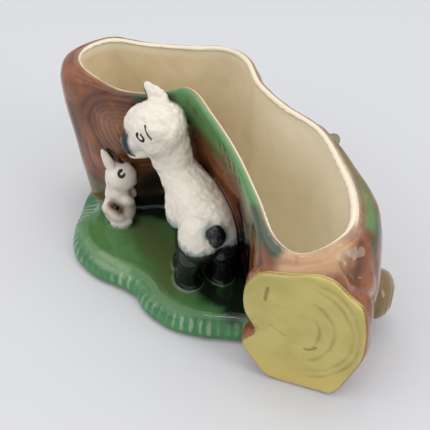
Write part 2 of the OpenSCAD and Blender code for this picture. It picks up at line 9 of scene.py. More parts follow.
import json
import logging
import math
from dataclasses import dataclass, field
from enum import Enum

import bpy
import numpy as np
from mathutils import Matrix, Vector, noise
from mathutils.bvhtree import BVHTree
from mathutils.geometry import tessellate_polygon


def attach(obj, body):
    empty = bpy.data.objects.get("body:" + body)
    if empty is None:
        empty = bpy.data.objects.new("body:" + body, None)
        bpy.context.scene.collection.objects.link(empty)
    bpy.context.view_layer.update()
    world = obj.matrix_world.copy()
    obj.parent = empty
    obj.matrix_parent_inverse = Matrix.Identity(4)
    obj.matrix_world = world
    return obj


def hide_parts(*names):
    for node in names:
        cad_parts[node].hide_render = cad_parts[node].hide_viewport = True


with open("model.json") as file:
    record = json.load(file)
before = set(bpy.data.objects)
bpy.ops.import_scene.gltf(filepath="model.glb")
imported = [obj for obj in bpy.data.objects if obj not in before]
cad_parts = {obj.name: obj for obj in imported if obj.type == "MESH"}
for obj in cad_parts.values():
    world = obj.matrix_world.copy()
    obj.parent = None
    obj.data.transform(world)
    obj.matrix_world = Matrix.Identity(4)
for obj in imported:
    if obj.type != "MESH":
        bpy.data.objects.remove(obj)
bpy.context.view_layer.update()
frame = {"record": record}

LOGGER = logging.getLogger("planter")
MM = 0.001
# The grid that the forms are melted on
VOXEL = 0.75
# Over how many millimetres a painted edge's mark fades, from which a finish cuts the crisp edge
RAMP_W = 6.0
# Rings between two stations of a limb, and the least half width of a ring
LIMB_STEPS = 8
LEAST_R = 0.05
# What stands for a depth in the hollow where a vertex isn't on the trough
FAR_OUTSIDE = -9.0
# Over how many millimetres the end of a knot's ring fades, to either side
RING_FADE = 6.0
# The numbers of the Mix node's inputs for colours
FACTOR, BELOW, ABOVE = 0, 6, 7
Rows = tuple[tuple[float, ...], ...]
Spot = tuple[float, float, float]


# Curves and lofts


def curve(points: np.ndarray, at: np.ndarray, closed: bool = False) -> np.ndarray:
    """Points of a smooth curve that goes through all its control points.

    Args:
        points: Control points, one a row.
        at: Places along the curve, where a whole number is a control point.
        closed: Whether the curve runs on from its last point to its first.

    Returns:
        One row for each place.
    """
    count = len(points)
    start = np.floor(at).astype(int)
    if not closed:
        start = np.clip(start, 0, count - 2)
    t = (at - start)[:, None]
    rows = [start - 1, start, start + 1, start + 2]
    rows = [r % count if closed else np.clip(r, 0, count - 1) for r in rows]
    a, b, c, d = (points[r] for r in rows)
    return (
        2 * b + (c - a) * t + (2 * a - 5 * b + 4 * c - d) * t**2 + (3 * b - a - 3 * c + d) * t**3
    ) / 2


def loop(points: np.ndarray, steps: int) -> np.ndarray:
    """A closed smooth curve with so many steps from each control point to the next."""
    return curve(points, np.arange(len(points) * steps) / steps, closed=True)


def outward(outline: np.ndarray) -> np.ndarray:
    """Unit directions out of an outline, in plan.

    Args:
        outline: Points of a closed outline that runs anticlockwise.

    Returns:
        One direction for each point.
    """
    along = np.roll(outline, -1, 0)[:, :2] - np.roll(outline, 1, 0)[:, :2]
    out = np.c_[along[:, 1], -along[:, 0]]
    return out / np.linalg.norm(out, axis=1)[:, None]


def moved_out(outline: np.ndarray, distance: float) -> np.ndarray:
    """The same outline, moved outwards in plan.

    Args:
        outline: Points of a closed outline that runs anticlockwise.
        distance: How far it moves, and inwards where this is below zero.

    Returns:
        The moved points.
    """
    moved = outline.copy()
    moved[:, :2] += outward(outline) * distance
    return moved


def unit(v: np.ndarray) -> np.ndarray:
    """A vector of length one."""
    return v / np.linalg.norm(v)


def smooth_step(value: np.ndarray, low: float, high: float) -> np.ndarray:
    """Rises from 0 at low to 1 at high, with soft ends. It falls where low is above high."""
    t = np.clip((value - low) / (high - low), 0, 1)
    return t * t * (3 - 2 * t)


def ramp(distance: np.ndarray) -> np.ndarray:
    """A distance to a painted edge as a mark, which is 0.5 on the edge.

    A finish cuts the ramp off, so that the edge stays crisp between the skin's vertices.
    """
    return np.clip(0.5 + distance / RAMP_W, 0, 1)


@dataclass(frozen=True)
class Place:
    """Where a form stands: its own origin, and the way that its +X looks, in degrees."""

    origin: Spot
    turn: float = 0.0
    rise: float = 0.0

    def axes(self) -> np.ndarray:
        """The form's own axes.

        Returns:
            The three axes in the row frame, one a row.
        """
        turn = Matrix.Rotation(math.radians(self.turn), 3, "Z")
        rise = Matrix.Rotation(math.radians(-self.rise), 3, "Y")
        return np.array(turn @ rise).T

    def out(self, points: np.ndarray) -> np.ndarray:
        """Own points in the row frame."""
        return np.asarray(points, float) @ self.axes() + self.origin

    def own(self, points: np.ndarray) -> np.ndarray:
        """Row-frame points in the own frame."""
        return (np.asarray(points, float) - self.origin) @ self.axes().T


@dataclass
class Form:
    """A closed surface before it is melted, with what its faces know of the painting on them."""

    node: str
    points: np.ndarray
    faces: list[tuple[int, ...]]
    facts: dict[str, np.ndarray] = field(default_factory=dict)


def loft(node: str, rings: np.ndarray, facts: dict[str, np.ndarray] | None = None) -> Form:
    """A closed form through rings of equal count, with flat or fanned ends.

    Args:
        node: The solid that the form stands for.
        rings: Points by ring and place round it.
        facts: Values by ring and place round it, given on to the side faces.

    Returns:
        The form. Its end caps take the facts of the ring that they close.
    """
    count, sides, _ = rings.shape
    points = rings.reshape(-1, 3)
    grid = np.arange(count * sides).reshape(count, sides)
    after = np.roll(grid, -1, 1)
    quads = np.stack([grid[:-1], after[:-1], after[1:], grid[1:]], -1).reshape(-1, 4)
    faces = [tuple(q) for q in quads.tolist()]
    rows = [grid[:-1].reshape(-1)]
    for ring, side in ((0, -1), (count - 1, 1)):
        outline = rings[ring]
        facing = np.cross(outline, np.roll(outline, -1, 0)).sum(0) * side
        triangles = tessellate_polygon([[Vector(p) for p in outline]])
        base = int(grid[ring, 0])
        for a, b, c in triangles:
            turned = np.cross(outline[b] - outline[a], outline[c] - outline[a]) @ facing < 0
            faces.append((base + a, base + c, base + b) if turned else (base + a, base + b, base + c))
        rows.append(np.full(len(triangles), base))
    index = np.concatenate(rows)
    known = {name: value.reshape(-1)[index] for name, value in (facts or {}).items()}
    return Form(node, points, faces, known)


def inside_of(tree: BVHTree, point: np.ndarray) -> float:
    """How deep a point lies inside a closed surface, below zero outside it."""
    place, normal, _, distance = tree.find_nearest(Vector(point))
    return distance if (Vector(point) - place).dot(normal) < 0 else -distance


def as_object(form: Form) -> bpy.types.Object:
    """A form as an object of the scene.

    Args:
        form: The form, in millimetres.

    Returns:
        The object, in metres.
    """
    mesh = bpy.data.meshes.new(form.node)
    mesh.from_pydata((form.points * MM).tolist(), [], form.faces)
    made = bpy.data.objects.new(form.node, mesh)
    bpy.context.scene.collection.objects.link(made)
    return made


def without(form: Form, hollow: Form) -> Form:
    """A form without the part of it that lies in a hollow.

    Args:
        form: The form to cut.
        hollow: The closed space that is kept free.

    Returns:
        The cut form, which has lost its facts.
    """
    body, tool = as_object(form), as_object(hollow)
    cut = body.modifiers.new("cut", "BOOLEAN")
    cut.operation = "DIFFERENCE"
    cut.solver = "EXACT"
    cut.object = tool
    body.modifiers.new("split", "TRIANGULATE")
    dressed = body.evaluated_get(bpy.context.evaluated_depsgraph_get()).to_mesh()
    points = np.empty(len(dressed.vertices) * 3)
    dressed.vertices.foreach_get("co", points)
    faces = [tuple(face.vertices) for face in dressed.polygons]
    for made in (body, tool):
        mesh = made.data
        bpy.data.objects.remove(made)
        bpy.data.meshes.remove(mesh)
    return Form(form.node, points.reshape(-1, 3) / MM, faces)


def limb_rings(stations: np.ndarray, up: Spot, sides: int = 40) -> np.ndarray:
    """Oval rings along a limb.

    Args:
        stations: x, y, z, half width and half height of the limb, one station a row.
        up: Which way the half heights point, roughly.
        sides: How many points a ring has.

    Returns:
        Points by ring and place round it.
    """
    last = len(stations) - 1
    s = curve(stations, np.linspace(0, last, last * LIMB_STEPS + 1))
    before, after = np.roll(s, 1, 0), np.roll(s, -1, 0)
    before[0], after[-1] = s[0], s[-1]
    angle = np.linspace(0, 2 * math.pi, sides, endpoint=False)
    rings = []
    for here, back, on in zip(s, before, after):
        along = unit(on[:3] - back[:3])
        side = unit(np.cross(up, along))
        top = unit(np.cross(along, side))
        width, height = np.maximum(here[3:], LEAST_R)
        ring = np.outer(np.cos(angle) * width, side) + np.outer(np.sin(angle) * height, top)
        rings.append(here[:3] + ring)
    return np.array(rings)


# Tools and brushes


@dataclass(frozen=True)
class Stroke:
    """A line that a tool or a spray draws on the clay.

    A width is half of the line's, and a depth below zero raises a ridge.
    """

    path: Rows
    width: float
    mark: str = "groove"
    tint: float = 1.0
    depth: float = 0.0
    # Straight runs between two points of the path, and after how many widths nothing is left of it
    runs: int = 5
    fade: float = 3.0

    def weight(self, points: np.ndarray) -> np.ndarray:
        """How strongly the stroke falls on each point.

        Args:
            points: The points, in the frame of the path.

        Returns:
            A value from 0 to 1 for each point.
        """
        ends = np.array(self.path, float)
        last = len(ends) - 1
        if last > 1:
            ends = curve(ends, np.linspace(0, last, last * self.runs + 1))
        found = np.zeros(len(points))
        low, high = ends.min(0) - self.fade * self.width, ends.max(0) + self.fade * self.width
        near = np.flatnonzero(((points > low) & (points < high)).all(1))
        if len(near) == 0:
            return found
        p = points[near]
        best = np.full(len(p), np.inf)
        for a, b in zip(ends[:-1], ends[1:]):
            along = b - a
            t = np.clip((p - a) @ along / max(along @ along, 1e-9), 0, 1)
            best = np.minimum(best, np.linalg.norm(p - a - t[:, None] * along, axis=1))
        found[near] = np.exp(-((best / self.width) ** 2))
        return found


# The clay skin


class Skin:
    """The one clay surface of the pot, from melting to the pieces cut out of it.

    Attributes:
        nodes: Names of the nodes, which a label counts.
        points: The vertices, in millimetres.
        quads: The vertices of each face.
        edges: The two vertices of each edge.
        degree: How many edges meet at each vertex.
        label: The number of each vertex's node.
        face_label: The number of each face's node, known once the borders are tidy.
        marks: Paint and other facts at each vertex, by name.
    """

    # How far a vertex goes to its neighbours' mean in a round, and back where the volume is kept
    EASE = 0.5
    EASE_BACK = 0.53
    # How wide the softened joints are drawn, against the spread that makes them
    JOINT_GAIN = 1.5
    # Rounds that draw the borders smooth, and rounds that even out the skin beside them
    BORDER_ROUNDS = 8
    BESIDE_ROUNDS = 3
    # The least mark that is written to a mesh
    LEAST_MARK = 1e-6

    def __init__(self, forms: list[Form], voxel: float) -> None:
        """Melts the forms into one surface.

        Args:
            forms: All the closed forms, which may run into each other.
            voxel: The grid that they are melted on.
        """
        self.nodes = sorted({f.node for f in forms})
        points = np.concatenate([f.points for f in forms])
        faces, owner, facts = [], [], {}
        start = 0
        for f in forms:
            faces += [tuple(i + start for i in face) for face in f.faces]
            owner += [self.nodes.index(f.node)] * len(f.faces)
            start += len(f.points)
        for name in sorted({n for f in forms for n in f.facts}):
            facts[name] = np.concatenate([f.facts.get(name, np.zeros(len(f.faces))) for f in forms])
        mesh = bpy.data.meshes.new("clay")
        mesh.from_pydata((points * MM).tolist(), [], faces)
        holder = bpy.data.objects.new("clay", mesh)
        bpy.context.scene.collection.objects.link(holder)
        melt = holder.modifiers.new("melt", "REMESH")
        melt.mode = "VOXEL"
        melt.voxel_size = voxel * MM
        dressed = holder.evaluated_get(bpy.context.evaluated_depsgraph_get()).to_mesh()
        self.points = np.empty(len(dressed.vertices) * 3)
        dressed.vertices.foreach_get("co", self.points)
        self.points = self.points.reshape(-1, 3) / MM
        corners = np.empty(len(dressed.loops), int)
        dressed.loops.foreach_get("vertex_index", corners)
        self.quads = corners.reshape(-1, 4)
        self.edges = np.empty(len(dressed.edges) * 2, int)
        dressed.edges.foreach_get("vertices", self.edges)
        self.edges = self.edges.reshape(-1, 2)
        bpy.data.objects.remove(holder)
        bpy.data.meshes.remove(mesh)
        self.degree = np.bincount(self.edges.reshape(-1), minlength=len(self.points))
        source = BVHTree.FromPolygons(points.tolist(), faces)
        nearest = np.array([source.find_nearest(Vector(p))[2] for p in self.points.tolist()])
        self.label = np.array(owner)[nearest]
        self.marks = {name: value[nearest] for name, value in facts.items()}
        LOGGER.info("skin of %d points and %d faces", len(self.points), len(self.quads))

    def mean(self, values: np.ndarray) -> np.ndarray:
        """The mean of each vertex's neighbours.

        Args:
            values: One value or one row for each vertex.

        Returns:
            Means in the same shape.
        """
        a, b = self.edges.T
        wide = values.reshape(len(values), -1)
        found = np.empty_like(wide, dtype=float)
        for k in range(wide.shape[1]):
            column = wide[:, k]
            total = np.bincount(a, column[b], len(wide)) + np.bincount(b, column[a], len(wide))
            found[:, k] = total / self.degree
        return found.reshape(values.shape)

    def spread(self, values: np.ndarray, rounds: int) -> np.ndarray:
        """Values that are blurred along the skin.

        Args:
            values: One value or one row for each vertex.
            rounds: How often each takes half of its neighbours' mean.

        Returns:
            The blurred values.
        """
        for _ in range(rounds):
            values = (values + self.mean(values)) / 2
        return values

    def is_node(self, *names: str) -> np.ndarray:
        """Which vertices belong to any of these nodes."""
        return np.isin(self.label, [self.nodes.index(n) for n in names])

    def relabel(self, where: np.ndarray, node: str) -> None:
        """Gives vertices to a node.

        Args:
            where: Which vertices.
            node: The node, which may be new.
        """
        if node not in self.nodes:
            self.nodes.append(node)
        self.label[where] = self.nodes.index(node)

    def smooth(self, weight: np.ndarray | float, rounds: int, keep: bool = False) -> None:
        """Evens the skin out.

        Args:
            weight: How strongly, from 0 to 1, for all or for each vertex.
            rounds: How often.
            keep: Whether the volume is kept, for bumps and not for joints.
        """
        weight = np.broadcast_to(weight, (len(self.points),))[:, None]
        for _ in range(rounds):
            self.points += self.EASE * weight * (self.mean(self.points) - self.points)
            if keep:
                self.points -= self.EASE_BACK * weight * (self.mean(self.points) - self.points)

    def joints(self, rounds: int) -> np.ndarray:
        """The lines where two nodes meet.

        Args:
            rounds: How far they spread along the skin.

        Returns:
            1 on the lines, fading to 0 away from them.
        """
        a, b = self.edges.T
        split = self.label[a] != self.label[b]
        found = np.zeros(len(self.points))
        found[self.edges[split].reshape(-1)] = 1
        return np.clip(self.spread(found, rounds) * math.sqrt(rounds) * self.JOINT_GAIN, 0, 1)

    def normals(self) -> np.ndarray:
        """The way that the skin faces.

        Returns:
            A unit normal for each vertex.
        """
        p = self.points[self.quads]
        face = np.cross(p[:, 2] - p[:, 0], p[:, 3] - p[:, 1])
        found = np.empty_like(self.points)
        for k in range(3):
            found[:, k] = np.bincount(self.quads.reshape(-1), np.repeat(face[:, k], 4), len(found))
        return found / np.maximum(np.linalg.norm(found, axis=1), 1e-12)[:, None]

    def mark(self, name: str, where: np.ndarray, value: np.ndarray | float) -> None:
        """Paints part of the skin, where the stronger coat counts."""
        mark = self.marks.setdefault(name, np.zeros(len(self.points)))
        mark[where] = np.maximum(mark[where], value)

    def carve(self, strokes: tuple[Stroke, ...], where: np.ndarray, place: Place | None = None) -> None:
        """Cuts and paints strokes into part of the skin.

        Args:
            strokes: The strokes, all drawn before any cut changes the skin.
            where: Which vertices they can fall on.
            place: The frame that they are drawn in, if it isn't the row frame.
        """
        depth = np.zeros(len(self.points))
        spots = np.flatnonzero(where)
        points = self.points[spots] if place is None else place.own(self.points[spots])
        for stroke in strokes:
            weight = stroke.weight(points)
            depth[spots] += weight * stroke.depth
            self.mark(stroke.mark, spots, weight * stroke.tint)
        self.points -= self.normals() * depth[:, None]

    def grain(self, size: float, squash: float = 1.0) -> np.ndarray:
        """Noise from about -1 to 1 at each vertex, with features of a size, longer where squashed."""
        scale = np.array([1, 1, squash]) / size
        return np.array([noise.noise(Vector(p)) for p in (self.points * scale).tolist()])

    def waves(self, rows: Rows) -> np.ndarray:
        """Noise in several sizes at once. Each row has a height, a size and, if it has one, a squash."""
        return sum(height * self.grain(*shape) for height, *shape in rows)

    def push(self, height: np.ndarray) -> None:
        """Moves the skin out along its normals."""
        self.points += self.normals() * height[:, None]

    def tidy_borders(self) -> None:
        """Draws the borders between nodes into smooth lines and gives each face its node."""
        face_label = np.sort(self.label[self.quads], axis=1)[:, 1]
        self.face_label = face_label
        sides = np.concatenate([self.quads[:, [i, (i + 1) % 4]] for i in range(4)])
        sides.sort(axis=1)
        owner = np.tile(face_label, 4)
        order = np.lexsort((sides[:, 1], sides[:, 0]))
        sides, owner = sides[order], owner[order]
        pairs = (sides[:-1] == sides[1:]).all(1) & (owner[:-1] != owner[1:])
        border = sides[:-1][pairs]
        count = np.bincount(border.reshape(-1), minlength=len(self.points))
        on = count >= 2
        for _ in range(self.BORDER_ROUNDS):
            total = np.zeros_like(self.points)
            for k in range(3):
                column = self.points[:, k]
                total[:, k] = np.bincount(border[:, 0], column[border[:, 1]], len(column))
                total[:, k] += np.bincount(border[:, 1], column[border[:, 0]], len(column))
            self.points[on] += self.EASE * (total[on] / count[on][:, None] - self.points[on])
        near = np.zeros(len(self.points))
        near[border.reshape(-1)] = 1
        off = (count == 0).astype(float)
        rounds = self.BESIDE_ROUNDS
        self.smooth(np.clip(self.spread(near, rounds) * rounds, 0, 1) * off, rounds)

    def pieces(self) -> dict[str, bpy.types.Object]:
        """Cuts the skin into one object for each node, shaded as one surface.

        Returns:
            The objects by node.
        """
        normals = self.normals()
        made = {}
        for index, node in enumerate(self.nodes):
            faces = self.quads[self.face_label == index]
            if len(faces) == 0:
                continue
            used, local = np.unique(faces, return_inverse=True)
            mesh = bpy.data.meshes.new(node + "_glazed")
            mesh.from_pydata((self.points[used] * MM).tolist(), [], local.reshape(-1, 4).tolist())
            mesh.shade_smooth()
            mesh.normals_split_custom_set_from_vertices(normals[used].tolist())
            for name, value in self.marks.items():
                if value[used].max() > self.LEAST_MARK:
                    layer = mesh.attributes.new(name, "FLOAT", "POINT")
                    layer.data.foreach_set("value", value[used].astype(np.float32))
            made[node] = bpy.data.objects.new(node + "_glazed", mesh)
            bpy.context.scene.collection.objects.link(made[node])
        return made


# Finishes


def linear(code: str) -> tuple[float, float, float, float]:
    """A linear colour from an sRGB hex code."""
    parts = [int(code[i : i + 2], 16) / 255 for i in (1, 3, 5)]
    return (*[c / 12.92 if c <= 0.04045 else ((c + 0.055) / 1.055) ** 2.4 for c in parts], 1.0)


def add(
    tree: bpy.types.NodeTree, kind: str, inputs: dict[str | int, object] | None = None, **settings: object
) -> bpy.types.Node:
    """Adds one shader node with its settings and its links.

    Args:
        tree: The node tree.
        kind: The node's type, without its ShaderNode prefix.
        inputs: Values or sockets by the name or number of the input that takes them.
        **settings: The node's own settings.

    Returns:
        The node.
    """
    made = tree.nodes.new("ShaderNode" + kind)
    for name, value in settings.items():
        setattr(made, name, value)
    for key, value in (inputs or {}).items():
        if isinstance(value, bpy.types.NodeSocket):
            tree.links.new(value, made.inputs[key])
        else:
            made.inputs[key].default_value = value
    return made


class Grain(Enum):
    """How the clay under a glaze feels: the size and depth of its bumps in mm.

    Real clay is finer, with pores of 0.1 mm and less. All are drawn as coarse as the render shows.
    """

    SMOOTH = (5.0, 0.02)
    WOOL = (1.7, 0.30)
    STREAKED = (4.0, 0.05)
    BARE = (0.9, 0.10)


@dataclass(frozen=True)
class Layer:
    """One colour that is sprayed or brushed over those below it, where a mark lies.

    The colour starts where the mark passes low and is full at high. A mottle of noise, with
    features of a size in mm, shifts the mark, and most is the colour's strength where it is full.
    """

    mark: str
    colour: str
    low: float = 0.0
    high: float = 1.0
    mottle: float = 0.1
    size: float = 6.0
    most: float = 1.0


@dataclass(frozen=True)
class BrushLine:
    """A line that a fine brush draws on the glaze, in the frame of a head.

    The pigment lies under the clear coat, so the line has an edge in colour and none in relief.
    """

    place: Place
    start: Spot
    end: Spot
    facing: Spot
    line: float
    colour: str = "#101010"
    # How far behind its middle the line still shows, and how soft its edge is
    reach: float = 6.0
    soft: float = 0.12

    def out(self) -> np.ndarray:
        """The way that the painted side of the head looks, in the head's frame."""
        return unit(np.array(self.facing, float))

    def flat(self, way: np.ndarray) -> np.ndarray:
        """A direction in the head's frame, flattened along the view of the brush."""
        return way - (way @ self.out()) * self.out()

    def measure(
        self, tree: bpy.types.NodeTree, offset: bpy.types.NodeSocket, way: np.ndarray
    ) -> bpy.types.NodeSocket:
        """How far the shaded point lies along a direction of the head's frame, which is in mm."""
        turned = Vector(way @ self.place.axes() / MM)
        return add(tree, "VectorMath", {0: offset, 1: turned}, operation="DOT_PRODUCT").outputs["Value"]

    def offset(
        self, tree: bpy.types.NodeTree, where: bpy.types.NodeSocket, middle: np.ndarray
    ) -> bpy.types.NodeSocket:
        """The shaded point's place relative to a point of the head's frame."""
        origin = Vector(self.place.out(middle[None])[0] * MM)
        return add(tree, "VectorMath", {0: where, 1: origin}, operation="SUBTRACT").outputs[0]

    def edge(
        self, tree: bpy.types.NodeTree, away: bpy.types.NodeSocket, offset: bpy.types.NodeSocket
    ) -> bpy.types.NodeSocket:
        """Fills the line, on this side of the head only.

        Args:
            tree: The material's node tree.
            away: How far the shaded point lies from the middle of the line.
            offset: Its place relative to the middle of the whole mark.

        Returns:
            1 within half a line's width and 0 beyond.
        """
        half = self.line / 2
        span = {"Value": away, "From Min": half + self.soft, "From Max": half - self.soft}
        on = add(tree, "MapRange", span).outputs[0]
        depth = self.measure(tree, offset, self.out())
        depth = add(tree, "Math", {0: depth}, operation="ABSOLUTE").outputs[0]
        near = add(tree, "Math", {0: depth, 1: self.reach}, operation="LESS_THAN").outputs[0]
        return add(tree, "Math", {0: on, 1: near}, operation="MULTIPLY").outputs[0]

    def factor(self, tree: bpy.types.NodeTree, where: bpy.types.NodeSocket) -> bpy.types.NodeSocket:
        """Draws the line.

        Args:
            tree: The material's node tree.
            where: The shaded point.

        Returns:
            1 on the line and 0 off it.
        """
        start, end = np.array(self.start, float), np.array(self.end, float)
        along = self.flat(end - start)
        length = float(np.linalg.norm(along))
        along = along / length
        aside = np.cross(self.out(), along)
        offset = self.offset(tree, where, (start + end) / 2)
        run = add(tree, "Math", {0: self.measure(tree, offset, along)}, operation="ABSOLUTE").outputs[0]
        past = add(tree, "Math", {0: run, 1: length / 2}, operation="SUBTRACT").outputs[0]
        past = add(tree, "Math", {0: past, 1: 0.0}, operation="MAXIMUM").outputs[0]
        flat = add(tree, "CombineXYZ", {0: past, 1: self.measure(tree, offset, aside)}).outputs[0]
        away = add(tree, "VectorMath", {0: flat}, operation="LENGTH").outputs["Value"]
        return self.edge(tree, away, offset)


@dataclass(frozen=True)
class BrushRing(BrushLine):
    """A ring that is drawn round an eye, and left open where the brush starts.

    The start is the ring's middle, and the end is the end of its long radius. The opening is
    where the ring is left open, from its long radius, and its size is half of what is left open,
    both in degrees.
    """

    across: float = 1.5
    opening: float = 0.0
    opening_size: float = 0.0

    def factor(self, tree: bpy.types.NodeTree, where: bpy.types.NodeSocket) -> bpy.types.NodeSocket:
        """Draws the ring.

        Args:
            tree: The material's node tree.
            where: The shaded point.

        Returns:
            1 on the ring's line and 0 off it.
        """
        middle = np.array(self.start, float)
        along = self.flat(np.array(self.end, float) - middle)
        length = float(np.linalg.norm(along))
        along = along / length
        aside = np.cross(self.out(), along)
        mean = (length + self.across) / 2
        offset = self.offset(tree, where, middle)
        run = self.measure(tree, offset, along * mean / length)
        side = self.measure(tree, offset, aside * mean / self.across)
        flat = add(tree, "CombineXYZ", {0: run, 1: side}).outputs[0]
        radius = add(tree, "VectorMath", {0: flat}, operation="LENGTH").outputs["Value"]
        away = add(tree, "Math", {0: radius, 1: mean}, operation="SUBTRACT").outputs[0]
        away = add(tree, "Math", {0: away}, operation="ABSOLUTE").outputs[0]
        turn = math.radians(self.opening)
        gap = Vector((math.cos(turn), math.sin(turn), 0))
        toward = add(tree, "VectorMath", {0: flat, 1: gap}, operation="DOT_PRODUCT").outputs["Value"]
        share = math.cos(math.radians(self.opening_size))
        least = add(tree, "Math", {0: radius, 1: share}, operation="MULTIPLY").outputs[0]
        drawn = add(tree, "Math", {0: toward, 1: least}, operation="LESS_THAN").outputs[0]
        on = self.edge(tree, away, offset)
        return add(tree, "Math", {0: on, 1: drawn}, operation="MULTIPLY").outputs[0]


@dataclass(frozen=True)
class Glaze:
    """A ceramic finish: painted colours under one clear, glossy coat.

    The base and the second colour change over in soft patches, as a sprayed slip does.
    """

    name: str
    base: str
    second: str
    layers: tuple[Layer, ...] = ()
    lines: tuple[BrushLine, ...] = ()
    grain: Grain = Grain.SMOOTH
    roughness: float = 0.45
    coat: float = 1.0
    coat_roughness: float = 0.05
    # Glass, which a glaze is, has this refraction
    ior: float = 1.5
    # Patches of slip are about as wide as the spray's cone, in mm
    patch_size: float = 14.0
    patch_low: float = 0.35
    patch_high: float = 0.65

    def material(self) -> bpy.types.Material:
        """Builds the finish.

        Returns:
            The material, with its layers mixed from the first to the last.
        """
        made = bpy.data.materials.new(self.name)
        made.use_nodes = True
        tree = made.node_tree
        tree.nodes.clear()
        where = add(tree, "TexCoord").outputs["Object"]
        patch = add(tree, "TexNoise", {"Vector": where, "Scale": 1 / (self.patch_size * MM), "Detail": 4.0})
        span = {"Value": patch.outputs[0], "From Min": self.patch_low, "From Max": self.patch_high}
        soft = add(tree, "MapRange", span, interpolation_type="SMOOTHSTEP")
        mix = {FACTOR: soft.outputs[0], BELOW: linear(self.base), ABOVE: linear(self.second)}
        colour = add(tree, "Mix", mix, data_type="RGBA").outputs[2]
        for layer in self.layers:
            mark = add(tree, "Attribute", attribute_name=layer.mark).outputs["Fac"]
            blot = add(tree, "TexNoise", {"Vector": where, "Scale": 1 / (layer.size * MM), "Detail": 3.0})
            span = {0: blot.outputs[0], 1: layer.mottle, 2: -layer.mottle / 2}
            shift = add(tree, "Math", span, operation="MULTIPLY_ADD")
            uneven = add(tree, "Math", {0: mark, 1: shift.outputs[0]}, operation="ADD")
            span = {"Value": uneven.outputs[0], "From Min": layer.low, "From Max": layer.high}
            span["To Max"] = layer.most
            factor = add(tree, "MapRange", span, interpolation_type="SMOOTHSTEP")
            mix = {FACTOR: factor.outputs[0], BELOW: colour, ABOVE: linear(layer.colour)}
            colour = add(tree, "Mix", mix, data_type="RGBA").outputs[2]
        for line in self.lines:
            mix = {FACTOR: line.factor(tree, where), BELOW: colour, ABOVE: linear(line.colour)}
            colour = add(tree, "Mix", mix, data_type="RGBA").outputs[2]
        bump = self.relief(tree, where)
        look = {
            "Base Color": colour,
            "Roughness": self.roughness,
            "IOR": self.ior,
            # The clear coat takes over the slip's own reflection
            "Specular IOR Level": 0.5 * (1 - self.coat),
            "Coat Weight": self.coat,
            "Coat Roughness": self.coat_roughness,
            "Coat IOR": self.ior,
            "Normal": bump,
            "Coat Normal": bump,
        }
        shader = add(tree, "BsdfPrincipled", look)
        add(tree, "OutputMaterial", {"Surface": shader.outputs[0]})
        return made

    def relief(self, tree: bpy.types.NodeTree, where: bpy.types.NodeSocket) -> bpy.types.NodeSocket:
        """The fine relief of the clay under the coat.

        Args:
            tree: The material's node tree.
            where: The shaded point.

        Returns:
            The bumped normal.
        """
        size, depth = self.grain.value
        if self.grain is Grain.STREAKED:
            # A modelling tool's streaks run upright, four times as long as wide
            where = add(tree, "Mapping", {"Vector": where, "Scale": (1.0, 1.0, 0.25)}).outputs[0]
        bumps = add(tree, "TexNoise", {"Vector": where, "Scale": 1 / (size * MM), "Detail": 3.0})
        span = {"Height": bumps.outputs[0], "Strength": 1.0, "Distance": depth * MM}
        return add(tree, "Bump", span).outputs[0]


# The log


